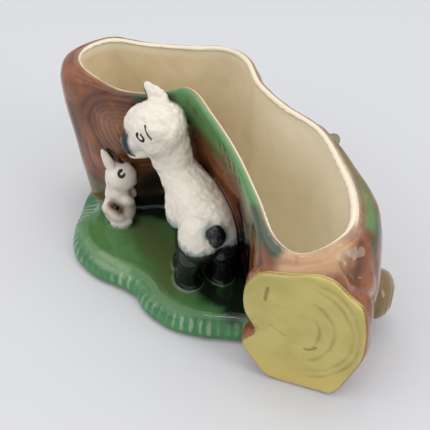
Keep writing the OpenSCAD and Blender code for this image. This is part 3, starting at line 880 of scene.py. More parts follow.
@dataclass
class Log:
    """The hollow log, with its rim, both sawn ends and its branch stubs."""

    # Half its length and half its depth, and the height of the rim
    half_l: float = 120.0
    half_d: float = 60.0
    rim_h: float = 106.0
    # How thick wall and floor are, how far the wall may stand out, and the radius of the lip
    wall: float = 4.5
    floor_t: float = 6.0
    swell: float = 16.0
    lip_r: float = 1.6
    # How deep the folds of the front end's bark are, and how many it has
    bark_fold: float = 1.2
    bark_folds: int = 9
    # How thick the foot and the sawn faces are
    foot_t: float = 2.0
    sawn_t: float = 3.0
    # The most that the inner wall stands out, and how deep in the wall other forms are cut off
    inner_swell: float = 0.12
    root_share: float = 0.5
    # Radius and length of the stubs, and width, height and length of the front end
    side_stub_r: float = 15.0
    side_stub_reach: float = 13.0
    back_stub_r: float = 17.0
    back_stub_reach: float = 8.0
    end_w: float = 63.0
    end_h: float = 87.0
    reach: float = 47.25
    # Points between two rows of an outline, and rings of each form
    steps: int = 12
    outer_steps: int = 30
    lip_steps: int = 6
    inner_steps: int = 24
    hollow_steps: int = 26
    end_steps: int = 50
    stub_steps: int = 30
    stub_sides: int = 60
    # How high the foot, waist, shoulder and rim lie, as shares of the rim height: levels 0 to 3
    levels: tuple[float, ...] = (0.0, 0.44, 0.90, 1.0)
    # Levels where the lip begins, where the inner wall ends and where the floor's edge is
    lip_level: float = 2.75
    hollow_level: float = 0.667
    floor_level: float = 0.333
    # How far the inner wall leans in at its foot
    fillet: float = 1.5
    # X and Y, rim height, and how far the wall stands out at its foot, waist and shoulder
    rows: Rows = (
        (-0.960, -0.15, 0.990, 0.00, 0.34, 0.58),
        (-0.840, -0.33, 0.990, 0.02, 0.34, 0.58),
        (-0.665, -0.34, 0.985, -0.10, 0.05, 0.20),
        (-0.520, -0.27, 0.980, -0.25, -0.20, 0.05),
        (-0.385, -0.08, 0.990, -0.60, -0.50, -0.15),
        (-0.235, 0.06, 1.075, -0.55, -0.38, -0.03),
        (-0.065, 0.03, 1.020, -0.50, -0.32, -0.05),
        (0.150, -0.08, 0.965, -0.50, -0.32, -0.05),
        (0.365, -0.24, 0.902, -0.20, 0.05, 0.08),
        (0.560, -0.40, 0.850, 0.10, 0.45, 0.25),
        (0.710, -0.295, 0.830, 0.15, 0.25, 0.20),
        (0.750, 0.125, 0.855, 1.26, 1.10, 0.68),
        (0.655, 0.405, 0.905, 1.43, 1.10, 0.76),
        (0.492, 0.600, 0.942, 0.90, 0.72, 0.55),
        (0.285, 0.77, 0.974, 0.15, 0.38, 0.28),
        (0.065, 0.76, 0.993, 0.00, 0.30, 0.15),
        (-0.115, 0.80, 1.016, 0.00, 0.30, 0.15),
        (-0.285, 0.95, 1.040, -0.15, 0.20, 0.10),
        (-0.460, 0.96, 1.025, -0.15, 0.20, 0.10),
        (-0.600, 0.72, 1.015, -0.15, 0.25, 0.15),
        (-0.790, 0.45, 1.000, -0.15, 0.20, 0.30),
        (-0.950, 0.23, 0.995, -0.15, 0.20, 0.50),
    )
    # The front sawn end's outline, across and up, clockwise as seen from the front
    end_outline: Rows = (
        (-0.47, 0.80), (-0.36, 0.92), (-0.16, 0.95), (0.00, 1.00), (0.17, 0.985), (0.32, 0.90),
        (0.45, 0.80), (0.50, 0.62), (0.50, 0.43), (0.43, 0.24), (0.34, 0.06), (0.22, 0.00),
        (-0.22, 0.01), (-0.385, 0.135), (-0.50, 0.29), (-0.40, 0.43), (-0.48, 0.57), (-0.50, 0.70),
    )
    # Its rings: forward, back, growth, depth of the folds and width
    end_rings: Rows = (
        (1, 0, -0.6, 0, 1), (0.8, 0, -0.2, 0, 1), (0.3, 0, 0.05, 0.2, 1), (-1, 0, 0.35, 0.6, 1),
        (0, 0.15, 0.35, 1, 1), (0, 0.30, -0.35, 1, 1), (0, 0.58, -0.60, 0.8, 1),
        (0, 1, -1, 0.5, 0.6),
    )
    # A stub's rings: back, forward, growth and width
    stub_rings: Rows = (
        (-1, 0, 0, 1.2), (0, 0, 0, 1.08), (0, 0.45, 0, 1), (0, 0.78, 0, 0.93), (0, 1, 0.2, 0.74),
        (0, 1, 1, 0.4),
    )
    # A stub is a little oval, turned by an angle, and a little three-cornered
    stub_oval: float = 0.05
    stub_oval_turn: float = 40.0
    stub_corners: float = 0.03
    twig_l: float = 12.0
    twig_r: float = 5.0
    # The twig's stations: along its length, then lift and half widths against its radius
    twig_rows: Rows = (
        (-1, 0, 1.6, 1.6), (0, 0, 1.3, 1.3), (0.5, 0, 1, 0.9), (0.85, 0.2, 0.7, 0.6),
        (1, 0.3, 0.3, 0.25),
    )
    # Where the front end, the left sawn face, the stubs and the twig are
    front_place: Place = Place((91.8, -21.6, 0.0), -60.0)
    left_place: Place = Place((-117.0, 0.0, 53.0), 180.0, -6.5)
    side_place: Place = Place((84.0, 37.2, 23.85), 30.0)
    back_place: Place = Place((-45.0, 55.8, 88.51), 102.0, 14.0)
    twig_place: Place = Place((31.2, 48.0, 87.98), 62.0, 20.0)
    # The big knot: its middle, and the step and count of the fine rings in it
    knot_middle: tuple[float, float] = (-61.5, 78.0)
    knot_step: float = 3.6
    knot_count: int = 4
    # Rings of the big knot: radius, half width, depth, and how far they run below its middle
    knot_rings: Rows = (
        (25.0, 2.0, 0.95, 30.0), (21.2, 0.9, 0.8, 34.0), (30.8, 2.1, 0.85, -4.0),
        (17.6, 0.9, 0.7, 34.0), (13.8, 0.9, 0.6, 34.0), (10.2, 0.8, 0.5, 34.0),
    )
    # How far its rings are squeezed across, above the middle and below it, and how they stray
    knot_shape: tuple[float, float, float] = (1.1, 1.25, 0.80)
    knot_wobble: Rows = ((1.32, 14.0), (0.36, 5.0))
    # How deep all of them are, how deep the fine ones are, and how strong they are here and there
    knot_depth: float = 0.45
    fine_depth: float = 0.5
    knot_mean: float = 0.85
    knot_waves: Rows = ((0.4, 10.0),)
    # The knot ends before this Y and this far right of its middle, where it fades out
    knot_rear: float = 5.0
    knot_right: float = 26.0
    knot_fade: tuple[float, float] = (22.0, 8.0)
    # Its middle gets a lighter tan, a painted sheen: how much, within what radius and above what height
    knot_sheen: float = 0.32
    sheen_within: tuple[float, float] = (23.0, 16.0)
    sheen_above: tuple[float, float] = (52.0, 62.0)
    # Grooves that a modelling tool cut into the bark
    grooves: tuple[Stroke, ...] = (
        Stroke(
            ((-98, -28, 84), (-97, -27, 76), (-97, -26, 64), (-98, -24, 51), (-100, -21, 38)),
            3.2, tint=1.0, depth=0.3,
        ),
        Stroke(((-101, -28, 98), (-98, -28, 92), (-93, -27, 90)), 1.6, tint=0.4, depth=0.3),
        Stroke(((-86, -24, 58), (-85, -24, 50), (-84, -23, 43)), 4.2, "tan", 0.3, -0.5),
        Stroke(((-91, -25, 60), (-91, -25, 50), (-89, -24, 40), (-83, -23, 34)), 1.6, tint=0.6, depth=0.3),
        Stroke(((53, -23, 84), (55.5, -25, 74), (57, -26, 62), (57, -26, 48)), 2.4, tint=0.9, depth=0.45),
        Stroke(((62, -25.5, 88), (65, -28, 80), (67, -30, 72)), 2.2, tint=0.8, depth=0.35),
        Stroke(((66, -28, 78), (71, -32, 79)), 1.2, tint=0.5, depth=0.3),
        Stroke(((81, -20, 88), (83, -22, 84.5)), 1.2, tint=0.5, depth=0.3),
        Stroke(((95, -2, 87), (98, -7, 84), (102, -12, 80)), 2.6, tint=0.6, depth=0.35),
        Stroke(((96, 3, 88), (98.5, -2, 84), (102, -7, 78), (106, -11, 72)), 2.6, tint=0.65, depth=0.35),
        Stroke(((95, 10, 89), (98.5, 4.5, 86), (101, 2, 78), (105, -3, 68)), 2.6, tint=0.65, depth=0.35),
        Stroke(((97, 16, 88), (100.5, 14, 81), (102, 14, 70), (106, 10, 56)), 2.8, tint=0.6, depth=0.4),
        Stroke(((95, 27, 86), (98, 28, 76), (101, 27, 60)), 2.4, tint=0.7, depth=0.4),
    )
    # Thumbed dimples under the moss on the rim: half width, height, depth and places
    dimple_w: float = 1.9
    dimple_h: float = 2.0
    dimple_t: float = 0.6
    dimples: tuple[Spot, ...] = (
        (7.5, -3, 98), (13, -2, 92), (19, -6, 94), (27, -10, 92), (2, -1, 95), (-22, 5, 102),
        (-27, 3, 105),
    )
    # Colours that were sprayed on, from the rim down. The dark on the front wall behind the animals is black
    # spray and painted shade of that niche together
    sprays: tuple[Stroke, ...] = (
        Stroke(
            (
                (-36, -1, 106), (-29, 3, 110), (-19, 3, 108), (-5, 0, 105), (9, -3, 102), (25, -8, 98),
                (38, -13, 95), (47, -17, 92),
            ),
            5.6, "moss", 1.3,
        ),
        Stroke(((-30, 4, 104), (-22, 5, 99), (-8, 3, 98), (2, 1, 97)), 7.5, "moss", 0.9),
        Stroke(((45, -16, 93), (50, -18.5, 92), (54, -20, 91.5)), 3.4, "moss", 0.7),
        Stroke(((48, -18, 91), (56, -21, 90.5), (64, -23, 89.5), (71, -24, 88)), 5.0, "ash", 1.15),
        Stroke(((44, -18, 88), (52, -21, 86), (60, -23.5, 85)), 6.0, "olive", 1.0),
        Stroke(((50, -20, 88), (60, -23, 87), (68, -24.5, 86)), 4.5, "dark", 0.38),
        Stroke(((-52, -9, 102), (-45, -5, 102), (-38, -2, 103)), 6.5, "ash", 1.2),
        Stroke(
            ((-30, 5, 94), (-14, 4, 90), (4, 1, 88), (20, -5, 88), (36, -13, 85), (48, -20, 82)),
            7.0, "olive", 0.95,
        ),
        Stroke(((80, -23, 86), (87, -18, 86), (92, -10, 86), (93, -3, 87)), 8.5, "tan", 1.1),
        Stroke(((62, -25.5, 78), (62, -27, 70), (62, -28, 60)), 3.6, "tan", 0.45),
        Stroke(((92, -6, 88), (92.5, 0, 88.5), (92, 8, 89.5), (90, 14, 90.5)), 2.4, "cream", 0.4),
        # Low on the wall behind the animals: black spray and painted shade together
        Stroke(
            (
                (-60, -8, 14), (-56, -3, 15), (-40, 6, 16), (-20, 10, 16), (0, 9, 18), (18, 6, 20),
                (34, -4, 20), (44, -14, 16),
            ),
            15.0, "dark", 1.25,
        ),
        Stroke(
            (
                (-56, -4, 34), (-40, 5, 42), (-20, 10, 46), (0, 8, 48), (20, 2, 48), (38, -9, 46),
                (48, -18, 34),
            ),
            15.0, "dark", 0.95,
        ),
        Stroke(((-20, 9, 64), (-4, 6, 66), (12, 2, 66), (28, -5, 64)), 9.0, "dark", 0.5),
        Stroke(((28, -5, 58), (38, -12, 56), (46, -18, 50)), 9.0, "dark", 1.0),
        Stroke(
            ((30, -9, 76), (38, -13, 74), (44, -18, 70), (47, -21, 58), (48, -22, 46)),
            8.0, "dark", 1.05,
        ),
        Stroke(((12, -2, 84), (26, -7, 82), (36, -13, 80)), 5.5, "dark", 0.35),
        Stroke(((26, -6, 70), (36, -12, 67), (42, -16, 62)), 8.0, "dark", 0.9),
        Stroke(((-103, -20, 22), (-94, -21, 20), (-82, -20, 20), (-70, -14, 22)), 9.0, "olive", 1.0),
        Stroke(((-92, -22, 28), (-80, -20, 30), (-68, -13, 34)), 7.0, "dark", 0.5),
        Stroke(
            ((22, 46, 98), (36, 44, 97), (54, 40, 95), (70, 34, 93), (82, 28, 91), (91, 20, 89)),
            4.6, "moss", 0.95,
        ),
        Stroke(((86, 30, 88), (94, 24, 86), (98, 16, 84)), 6.0, "ash", 0.7),
        Stroke(((-110, 10, 103), (-98, 26, 104), (-80, 42, 105), (-64, 54, 105)), 4.0, "moss", 0.6),
        Stroke(
            ((-62, 56, 100), (-46, 62, 99), (-28, 58, 100), (-8, 50, 101), (12, 48, 100)),
            7.0, "moss", 1.0,
        ),
        Stroke(((-40, 60, 60), (-20, 56, 66), (4, 52, 62)), 12.0, "olive", 0.8),
        Stroke(
            ((-108, 8, 12), (-80, 40, 12), (-40, 60, 12), (10, 50, 12), (50, 48, 12), (80, 44, 12)),
            11.0, "olive", 0.9,
        ),
        Stroke(((40, 50, 70), (66, 42, 64), (88, 30, 66)), 9.0, "tan", 0.6),
    )
    # Knots that the wood grain of the rear bends round; the rear is guessed
    rear_knots: Rows = ((-82.0, 40.0, 52.0), (14.0, 50.0, 46.0), (62.0, 44.0, 62.0))
    # The wood grain: step, half width of a line, how it strays, its depth and its strength
    grain_step: float = 8.0
    grain_line: float = 1.1
    grain_waves: Rows = ((1.1, 34.0), (0.25, 11.0))
    grain_depth: float = 0.75
    grain_mean: float = 0.7
    grain_uneven: Rows = ((0.9, 17.0),)
    # How far a knot bends the grain, and how wide around it
    knot_bend: float = 2.4
    knot_bend_r: float = 14.0
    # The stretches of the wall's rows where the rear has its own glaze edge and its wood grain
    rear_glaze: tuple[float, ...] = (10.2, 11.6, 22.2, 21.4)
    rear_grain: tuple[float, ...] = (11.6, 12.6, 21.8, 21.2)
    # How deep in the hollow the inner glaze begins, and how much further out it does at the rear
    glaze_edge: float = 1.2
    glaze_edge_rear: float = 1.6
    # How far outside that edge the bark's marks may begin
    bark_gap: float = 0.3
    # The inner brushed wash and painted shade: everywhere, more towards the left, where the extra is painted
    # shade, and how much its streaks change it
    wash_and_shade: tuple[float, float, float] = (0.08, 0.40, 0.22)
    left_shade_span: tuple[float, float] = (30.0, -90.0)
    # It fades in past the edge of the glaze and below the rim
    wash_and_shade_past: tuple[float, float] = (0.2, 1.6)
    wash_and_shade_below: tuple[float, float] = (2.0, 9.0)
    # The way its streaks run, and their width and length
    streak_way: Spot = (0.80, -0.45, 0.40)
    streak_size: tuple[float, float] = (3.0, 30.0)
    streak_share: float = 0.3
    streak_waves: Rows = ((0.5, 9.0),)
    # The pale lip fades out between these depths below the rim, and is narrower at the right
    lip_fade: tuple[float, float] = (4.0, 0.8)
    lip_right: float = 0.9
    lip_right_from: tuple[float, float] = (55.0, 80.0)
    # How wide the line round the inner glaze is
    line_width: float = 0.5
    # Waves in the bark: height, size and how much they are drawn out upwards
    bark_waves: Rows = ((0.24, 8.0, 0.35), (0.07, 2.6, 0.3))
    # Where along its reach a stub starts to be coloured like sawn wood, and over how much it does
    sawn_share: float = 0.3
    sawn_fade: float = 1.5
    # Growth rings on the front sawn face: half their widths and heights, and their middle
    ring_sizes: Rows = ((8.2, 13.0), (15.6, 22.0), (24.6, 31.0), (28.0, 36.0))
    ring_middle: tuple[float, float] = (0.0, 47.0)
    # Half the width of a growth ring's line, and how the rings stray
    ring_line: float = 1.1
    ring_wobble: Rows = ((0.8, 14.0), (0.25, 4.0))
    # They are nearly rubbed away on the left, and full from here on to the right
    rings_left: float = 0.08
    rings_right: tuple[float, float] = (-2.0, 9.0)
    rings_mean: float = 0.75
    rings_uneven: Rows = ((0.5, 12.0),)
    rings_tint: float = 0.62
    rings_depth: float = 0.4
    # The face is warmer low down and greener at its top left
    warm_below: tuple[float, float] = (-12.0, -40.0)
    warm_most: float = 0.6
    mossy_above: tuple[float, float] = (24.0, 56.0)
    mossy_lean: float = 0.8
    # The other faces show this many plain rings, which stray more
    plain_rings: float = 4.5
    plain_wobble: float = 2.0
    plain_mean: float = 0.6
    plain_uneven: Rows = ((0.5, 9.0),)
    plain_depth: float = 0.25
    # The bark's brown edge on that face: its width, how much wider it is low down, where that is,
    # how that lean runs, how the edge strays and up to what share of the thickness it is rounded
    edge_w: float = 0.1
    edge_more: float = 1.2
    edge_below: tuple[float, float] = (66.0, 50.0)
    edge_lean: float = 0.5
    edge_waves: Rows = ((0.35, 10.0),)
    edge_round: float = 0.6
    # Cracks and a brown patch on the front sawn face, in its own frame
    face_cuts: tuple[Stroke, ...] = (
        Stroke(((3, 7.5, 37), (3, 5, 34.3), (3, 2, 33.6)), 0.9, tint=1.0, depth=0.4),
        Stroke(((3, -17.5, 46), (3, -13, 43), (3, -9, 40)), 0.8, tint=0.5, depth=0.3),
        Stroke(((3, -19, 72), (3, -19.7, 67), (3, -20, 63)), 1.1, tint=0.9, depth=0.6),
        Stroke(((3, -30, 41), (3, -24, 41)), 3.0, "tan", 0.6),
    )
    # The other faces: node, place, size, how flat their rings are, strength and brown cover
    small_faces: tuple[tuple[str, Place, float, float, float, float], ...] = (
        ("left_sawn_face", left_place, 46.0, 1.3, 0.9, 0.0),
        ("side_stub_face", side_place, 16.0, 1.1, 0.35, 1.0),
        ("back_stub_face", back_place, 17.0, 1.1, 0.35, 0.0),
    )

    def outline(self, level: float, most: float = 1.0, out: float = 0.0) -> np.ndarray:
        """The wall's outline at a level.

        Args:
            level: From 0 at the foot to 3 at the rim.
            most: The largest share of the swell that the wall may stand out by.
            out: How far the outline is moved out in plan.

        Returns:
            X and Y of its points, and the rim's height above each.
        """
        rows = np.array(self.rows)
        xy = rows[:, :2] * (self.half_l, self.half_d)
        stand = np.array([curve(np.append(r[3:], 0)[:, None], np.array([level]))[0, 0] for r in rows])
        xy = xy + outward(xy) * (np.minimum(stand, most) * self.swell)[:, None]
        return loop(np.c_[moved_out(xy, out), rows[:, 2] * self.rim_h], self.steps)

    def share(self, level: float) -> float:
        """How high a level lies, as a share of the local rim height."""
        return float(curve(np.array(self.levels)[:, None], np.array([level]))[0, 0])

    def ring(self, level: float, out: float, drop: float, most: float = 1.0) -> np.ndarray:
        """A ring of the wall.

        Args:
            level: From 0 at the foot to 3 at the rim.
            out: How far the ring is moved out in plan.
            drop: How far it is lowered.
            most: The largest share of the swell that the wall may stand out by.

        Returns:
            The ring's points.
        """
        ring = self.outline(level, most, out)
        ring[:, 2] = np.maximum(ring[:, 2] * self.share(level) - drop, self.foot_t)
        return ring

    def floor_ring(self, inset: float, height: float) -> np.ndarray:
        """A level ring round the floor, inset from the inner wall, at a height above the foot."""
        ring = self.outline(self.floor_level, self.inner_swell, -self.wall - inset)
        ring[:, 2] = self.foot_t + height
        return ring

    def trough(self) -> Form:
        """The hollow log as one closed shell, flat at its left sawn end.

        Returns:
            The form, with the rim's height and the place along the rows as its facts.
        """
        rings = [self.ring(level, 0, 0) for level in np.linspace(0, self.lip_level, self.outer_steps)]
        quarter = np.radians(np.linspace(0, 90, self.lip_steps))
        for a in quarter:
            rings.append(self.ring(3, -self.lip_r * (1 - math.cos(a)), self.lip_r * (1 - math.sin(a))))
        for a in quarter[::-1]:
            out = -self.wall + self.lip_r * (1 - math.cos(a))
            rings.append(self.ring(3, out, self.lip_r * (1 - math.sin(a))))
        for level in np.linspace(self.lip_level, self.hollow_level, self.inner_steps):
            lean = self.fillet * max(0.0, 1 - level) * 3
            rings.append(self.ring(level, -self.wall - lean, 0, self.inner_swell))
        rings.append(self.floor_ring(self.floor_t, self.floor_t))
        rings = np.array(rings)
        own = self.left_place.own(rings.reshape(-1, 3))
        own[:, 0] = np.minimum(own[:, 0], self.sawn_t)
        flat = self.left_place.out(own).reshape(rings.shape)
        shape = rings.shape[:2]
        facts = {
            "rim": np.broadcast_to(self.outline(3)[:, 2], shape),
            "along": np.broadcast_to(np.arange(shape[1]) / self.steps, shape),
        }
        return loft("trough", flat, facts)

    def hollow(self, share: float) -> Form:
        """The space in the log and all that is above it.

        Args:
            share: Where its side lies in the wall, from 0 at the outer face to 1 at the inner one.

        Returns:
            The space as a closed form.
        """
        rings = [self.floor_ring(self.floor_t / 2, self.floor_t * (1 - share))]
        for level in np.linspace(self.hollow_level, 3.0, self.hollow_steps):
            rings.append(self.ring(level, -self.wall * share, 0, self.inner_swell))
        rings.append(self.ring(3, -self.wall * share, -self.rim_h / 2))
        return loft("hollow", np.array(rings))

    def hollow_tree(self, share: float) -> BVHTree:
        """The surface of the space in the log, to measure from."""
        form = self.hollow(share)
        return BVHTree.FromPolygons(form.points.tolist(), form.faces)

    def front_end(self) -> Form:
        """The front end of the log.

        Returns:
            The form, from behind its bark to its sawn face.
        """
        shares = np.array(self.end_outline)[::-1] * (self.end_w, self.end_h)
        base = loop(shares, self.steps)
        turn = np.arange(len(base)) / len(base)
        rings = []
        table = np.array(self.end_rings[::-1], float)
        at = np.linspace(0, len(table) - 1, self.end_steps)
        for forward, back, growth, depth, width in curve(table, at):
            ring = moved_out(base, growth * self.sawn_t)
            wave = 1 + np.cos(2 * math.pi * self.bark_folds * turn)
            fold = 1 - depth * self.bark_fold / self.end_w * wave
            x = np.full(len(base), forward * self.sawn_t - back * self.reach)
            z = np.maximum(ring[:, 1] * fold, self.foot_t)
            rings.append(np.c_[x, ring[:, 0] * fold * width, z])
        own = np.array(rings)
        own[..., 0] = np.minimum(own[..., 0], self.sawn_t)
        placed = self.front_place.out(own.reshape(-1, 3)).reshape(own.shape)
        return without(loft("front_log_end", placed), self.hollow(self.root_share))

    def stub(self, node: str, place: Place, r: float, reach: float) -> Form:
        """A short branch with a knobbly outline and a slightly domed, sawn end.

        Args:
            node: The stub's node.
            place: Where it grows from the log, and which way.
            r: Its radius.
            reach: Its length.

        Returns:
            The form, cut off inside the log's wall.
        """
        angle = np.linspace(0, 2 * math.pi, self.stub_sides, endpoint=False)
        oval = self.stub_oval * np.cos(2 * angle + math.radians(self.stub_oval_turn))
        lump = 1 + oval + self.stub_corners * np.cos(3 * angle)
        rings = []
        table = np.array(self.stub_rings, float)
        at = np.linspace(0, len(table) - 1, self.stub_steps)
        for back, forward, growth, width in curve(table, at):
            x = np.full(self.stub_sides, back * r + forward * reach + growth * self.sawn_t)
            rings.append(np.c_[x, width * r * lump * np.cos(angle), width * r * lump * np.sin(angle)])
        own = np.array(rings)
        own[..., 0] = np.minimum(own[..., 0], reach + self.sawn_t)
        points = place.out(own.reshape(-1, 3)).reshape(own.shape)
        points[..., 2] = np.maximum(points[..., 2], self.foot_t)
        return without(loft(node, points), self.hollow(self.root_share))

    def twig(self) -> Form:
        """The small broken twig at the back.

        Returns:
            The form, cut off inside the log's wall.
        """
        table = np.array(self.twig_rows)
        stations = np.c_[table[:, 0] * self.twig_l, table[:, 0] * 0, table[:, 1:] * self.twig_r]
        rings = limb_rings(stations, (0, 0, 1))
        placed = self.twig_place.out(rings.reshape(-1, 3)).reshape(rings.shape)
        return without(loft("twig", placed), self.hollow(self.root_share))

    def knot(self, radius: np.ndarray, count: int) -> np.ndarray:
        """How deep the rings round a knot are at each distance from its middle, from 0 to 1."""
        wave = 0.5 + 0.5 * np.cos(2 * math.pi * radius / self.knot_step)
        return wave**3 * smooth_step(radius, (count + 0.6) * self.knot_step, count * self.knot_step)

    def rear(self, skin: Skin, span: tuple[float, ...]) -> np.ndarray:
        """1 along a stretch of the wall's rows and 0 elsewhere, with a soft start and end."""
        along = skin.marks["along"]
        return smooth_step(along, *span[:2]) * smooth_step(along, *span[2:])

    def decorate(self, skin: Skin) -> None:
        """Carves the bark and sprays its colours, with painted shade in the niche behind the animals.

        Args:
            skin: The clay, which it changes.
        """
        bark = skin.is_node("trough", "front_log_end", "side_stub", "back_stub", "twig")
        outer = bark & (self.paint_inside(skin) < -self.bark_gap)
        self.carve_knots(skin, outer)
        skin.carve(self.grooves, outer)
        skin.carve(tuple(self.dimple(*at) for at in self.dimples), outer)
        skin.carve(self.sprays, outer)
        self.paint_stubs(skin)
        height = skin.waves(self.bark_waves)
        skin.push(height * (1 - 0.9 * self.behind_lamb(skin)) * skin.spread(outer.astype(float), 3))

    def dimple(self, x: float, y: float, z: float) -> Stroke:
        """One dimple that a thumb pressed in."""
        return Stroke(((x, y, z), (x, y, z + self.dimple_h)), self.dimple_w, "dimple", 1.0, self.dimple_t)

    def behind_lamb(self, skin: Skin) -> np.ndarray:
        """1 where the wall stands behind the lamb and is nearly smooth, and 0 elsewhere."""
        x, y, z = skin.points.T
        return smooth_step(x, -40, -25) * smooth_step(x, 62, 50) * (y < 12) * smooth_step(z, 30, 50)

    def paint_inside(self, skin: Skin) -> np.ndarray:
        """Paints the hollow: its pale glaze, the line of the lip, and the brushed wash with painted shade
        that grows towards the left.

        Args:
            skin: The clay, which gets the marks.

        Returns:
            How far inside the edge of the inner glaze each vertex lies.
        """
        trough = np.flatnonzero(skin.is_node("trough"))
        tree = self.hollow_tree(self.root_share)
        depth = np.full(len(skin.points), FAR_OUTSIDE)
        depth[trough] = [inside_of(tree, p) for p in skin.points[trough]]
        rear = self.rear(skin, self.rear_glaze)
        past = depth - (self.glaze_edge - self.glaze_edge_rear * rear)
        across, along = skin.points[:, 0], skin.points @ np.array(self.streak_way)
        width, length = self.streak_size
        brushed = np.array([noise.noise((a / width, b / length, 0)) for a, b in zip(along, across)])
        streaks = skin.waves(self.streak_waves) + self.streak_share * brushed
        all_over, left, uneven = self.wash_and_shade
        # The wash is brushed on; its rise towards the left is painted shade
        wash_and_shade = np.clip(all_over + left * smooth_step(across, *self.left_shade_span) + uneven * streaks, 0, 1)
        below = skin.spread(skin.marks["rim"], 4) - skin.points[:, 2]
        narrower = self.lip_right * smooth_step(across, *self.lip_right_from)
        lip = smooth_step(below + narrower, *self.lip_fade)
        skin.marks["inside"] = ramp(past)
        skin.marks["lip_line"] = ramp(past + self.line_width * (1 - rear))
        skin.marks["lip"] = np.minimum(lip, skin.marks["inside"])
        wash_and_shade *= smooth_step(past, *self.wash_and_shade_past) * smooth_step(below, *self.wash_and_shade_below)
        skin.marks["inner_wash_and_shade"] = wash_and_shade
        return past

    def paint_stubs(self, skin: Skin) -> None:
        """Colours the ends of the stubs like sawn wood, and the twig like old bark.

        Args:
            skin: The clay, which gets the marks.
        """
        for node, place, length in (
            ("side_stub", self.side_place, self.side_stub_reach),
            ("back_stub", self.back_place, self.back_stub_reach),
        ):
            stub = skin.is_node(node)
            reach, start = place.own(skin.points)[:, 0], self.sawn_share * length
            cover = smooth_step(reach, start - self.sawn_fade, start + self.sawn_fade)[stub]
            skin.mark("sawn", stub, cover)
            for name in ("moss", "dark", "groove", "tan"):
                skin.marks[name][stub] *= 1 - cover
            skin.mark("umber", stub, cover * (node == "side_stub"))
        skin.mark("ash", skin.is_node("twig"), 0.7)
        skin.mark("cream", skin.is_node("twig"), 0.45)

    def carve_knots(self, skin: Skin, outer: np.ndarray) -> None:
        """Carves the ringed knot of the front and the wood grain of the rear.

        Args:
            skin: The clay, which it changes.
            outer: Which vertices are bark.
        """
        groove = np.maximum(self.front_knot(skin, outer), self.rear_lines(skin, outer))
        skin.mark("groove", outer, np.clip(groove, 0, 1)[outer])
        skin.push(-self.knot_depth * groove)

    def front_knot(self, skin: Skin, outer: np.ndarray) -> np.ndarray:
        """Draws the big knot of the front, and paints a lighter tan sheen on the bark in its middle.

        Args:
            skin: The clay, which gets the tan mark, here a painted sheen.
            outer: Which vertices are bark.

        Returns:
            How deep its rings are at each vertex.
        """
        p = skin.points
        across, up = p[:, 0] - self.knot_middle[0], p[:, 2] - self.knot_middle[1]
        front = outer & (p[:, 1] < self.knot_rear) & (across < self.knot_right)
        narrow, flat, long = self.knot_shape
        bent = np.hypot(across * narrow, up * np.where(up > 0, flat, long))
        bent = bent + skin.waves(self.knot_wobble)
        groove = self.fine_depth * self.knot(bent, self.knot_count)
        for radius, width, strength, low in self.knot_rings:
            ring = strength * np.exp(-(((bent - radius) / width) ** 2))
            groove = np.maximum(groove, ring * smooth_step(up, -low - RING_FADE, -low + RING_FADE))
        groove *= smooth_step(across, *self.knot_fade) * front
        # A painted sheen, laid in the tan mark, in the middle of the knot
        tan = smooth_step(bent, *self.sheen_within) * smooth_step(p[:, 2], *self.sheen_above)
        skin.mark("tan", front, (self.knot_sheen * tan)[front])
        return groove * (self.knot_mean + skin.waves(self.knot_waves))

    def rear_lines(self, skin: Skin, outer: np.ndarray) -> np.ndarray:
        """Draws the wood grain of the rear, which bends round its knots.

        Args:
            skin: The clay.
            outer: Which vertices are bark.

        Returns:
            How deep its lines are at each vertex.
        """
        flow = skin.points[:, 2] / self.grain_step + skin.waves(self.grain_waves)
        for middle in self.rear_knots:
            away = np.linalg.norm(skin.points - middle, axis=1)
            flow += self.knot_bend * np.exp(-((away / self.knot_bend_r) ** 2))
        line = np.exp(-(((flow % 1 - 0.5) * self.grain_step / self.grain_line) ** 2))
        strength = np.clip(self.grain_mean + skin.waves(self.grain_uneven), 0, 1)
        return self.grain_depth * line * outer * self.rear(skin, self.rear_grain) * strength

    def decorate_sawn_faces(self, skin: Skin) -> None:
        """Carves and paints the sawn faces.

        Args:
            skin: The clay, which it changes.
        """
        wobble = skin.waves(self.ring_wobble)
        self.carve_front_face(skin, wobble)
        self.carve_small_faces(skin, wobble)
        self.paint_bark_edge(skin)

    def carve_front_face(self, skin: Skin, wobble: np.ndarray) -> None:
        """Carves the growth rings of the front sawn face and brushes its colours.

        Args:
            skin: The clay, which it changes.
            wobble: How far the rings stray at each vertex.
        """
        front = skin.is_node("front_sawn_face")
        own = self.front_place.own(skin.points)
        across, up = own[:, 1] - self.ring_middle[0], own[:, 2] - self.ring_middle[1]
        depth = np.zeros(len(skin.points))
        for half_width, half_height in self.ring_sizes:
            radius = np.hypot(across / half_width, up / half_height)
            away = (radius - 1) * half_width + wobble
            depth = np.maximum(depth, np.exp(-((away / self.ring_line) ** 2)))
        left = self.rings_left
        right = left + (1 - left) * smooth_step(across, *self.rings_right)
        depth *= front * right * (self.rings_mean + skin.waves(self.rings_uneven))
        skin.mark("groove", front, self.rings_tint * depth[front])
        skin.push(-self.rings_depth * depth)
        skin.mark("warm", front, (smooth_step(up, *self.warm_below) * self.warm_most)[front])
        skin.mark("mossy", front, smooth_step(up - self.mossy_lean * across, *self.mossy_above)[front])
        skin.carve(self.face_cuts, front, self.front_place)

    def carve_small_faces(self, skin: Skin, wobble: np.ndarray) -> None:
        """Carves plain growth rings into the other sawn faces.

        Args:
            skin: The clay, which it changes.
            wobble: How far the rings stray at each vertex.
        """
        uneven = self.plain_mean + skin.waves(self.plain_uneven)
        for node, place, size, flatness, strength, brown in self.small_faces:
            face = skin.is_node(node)
            own = place.own(skin.points)
            away = np.hypot(own[:, 1] * flatness, own[:, 2]) + self.plain_wobble * wobble
            step = size / self.plain_rings
            depth = np.exp(-(((away % step - step / 2) / self.ring_line) ** 2)) * face
            skin.mark("groove", face, strength * uneven[face] * depth[face])
            skin.mark("umber", face, brown)
            skin.push(-self.plain_depth * depth)

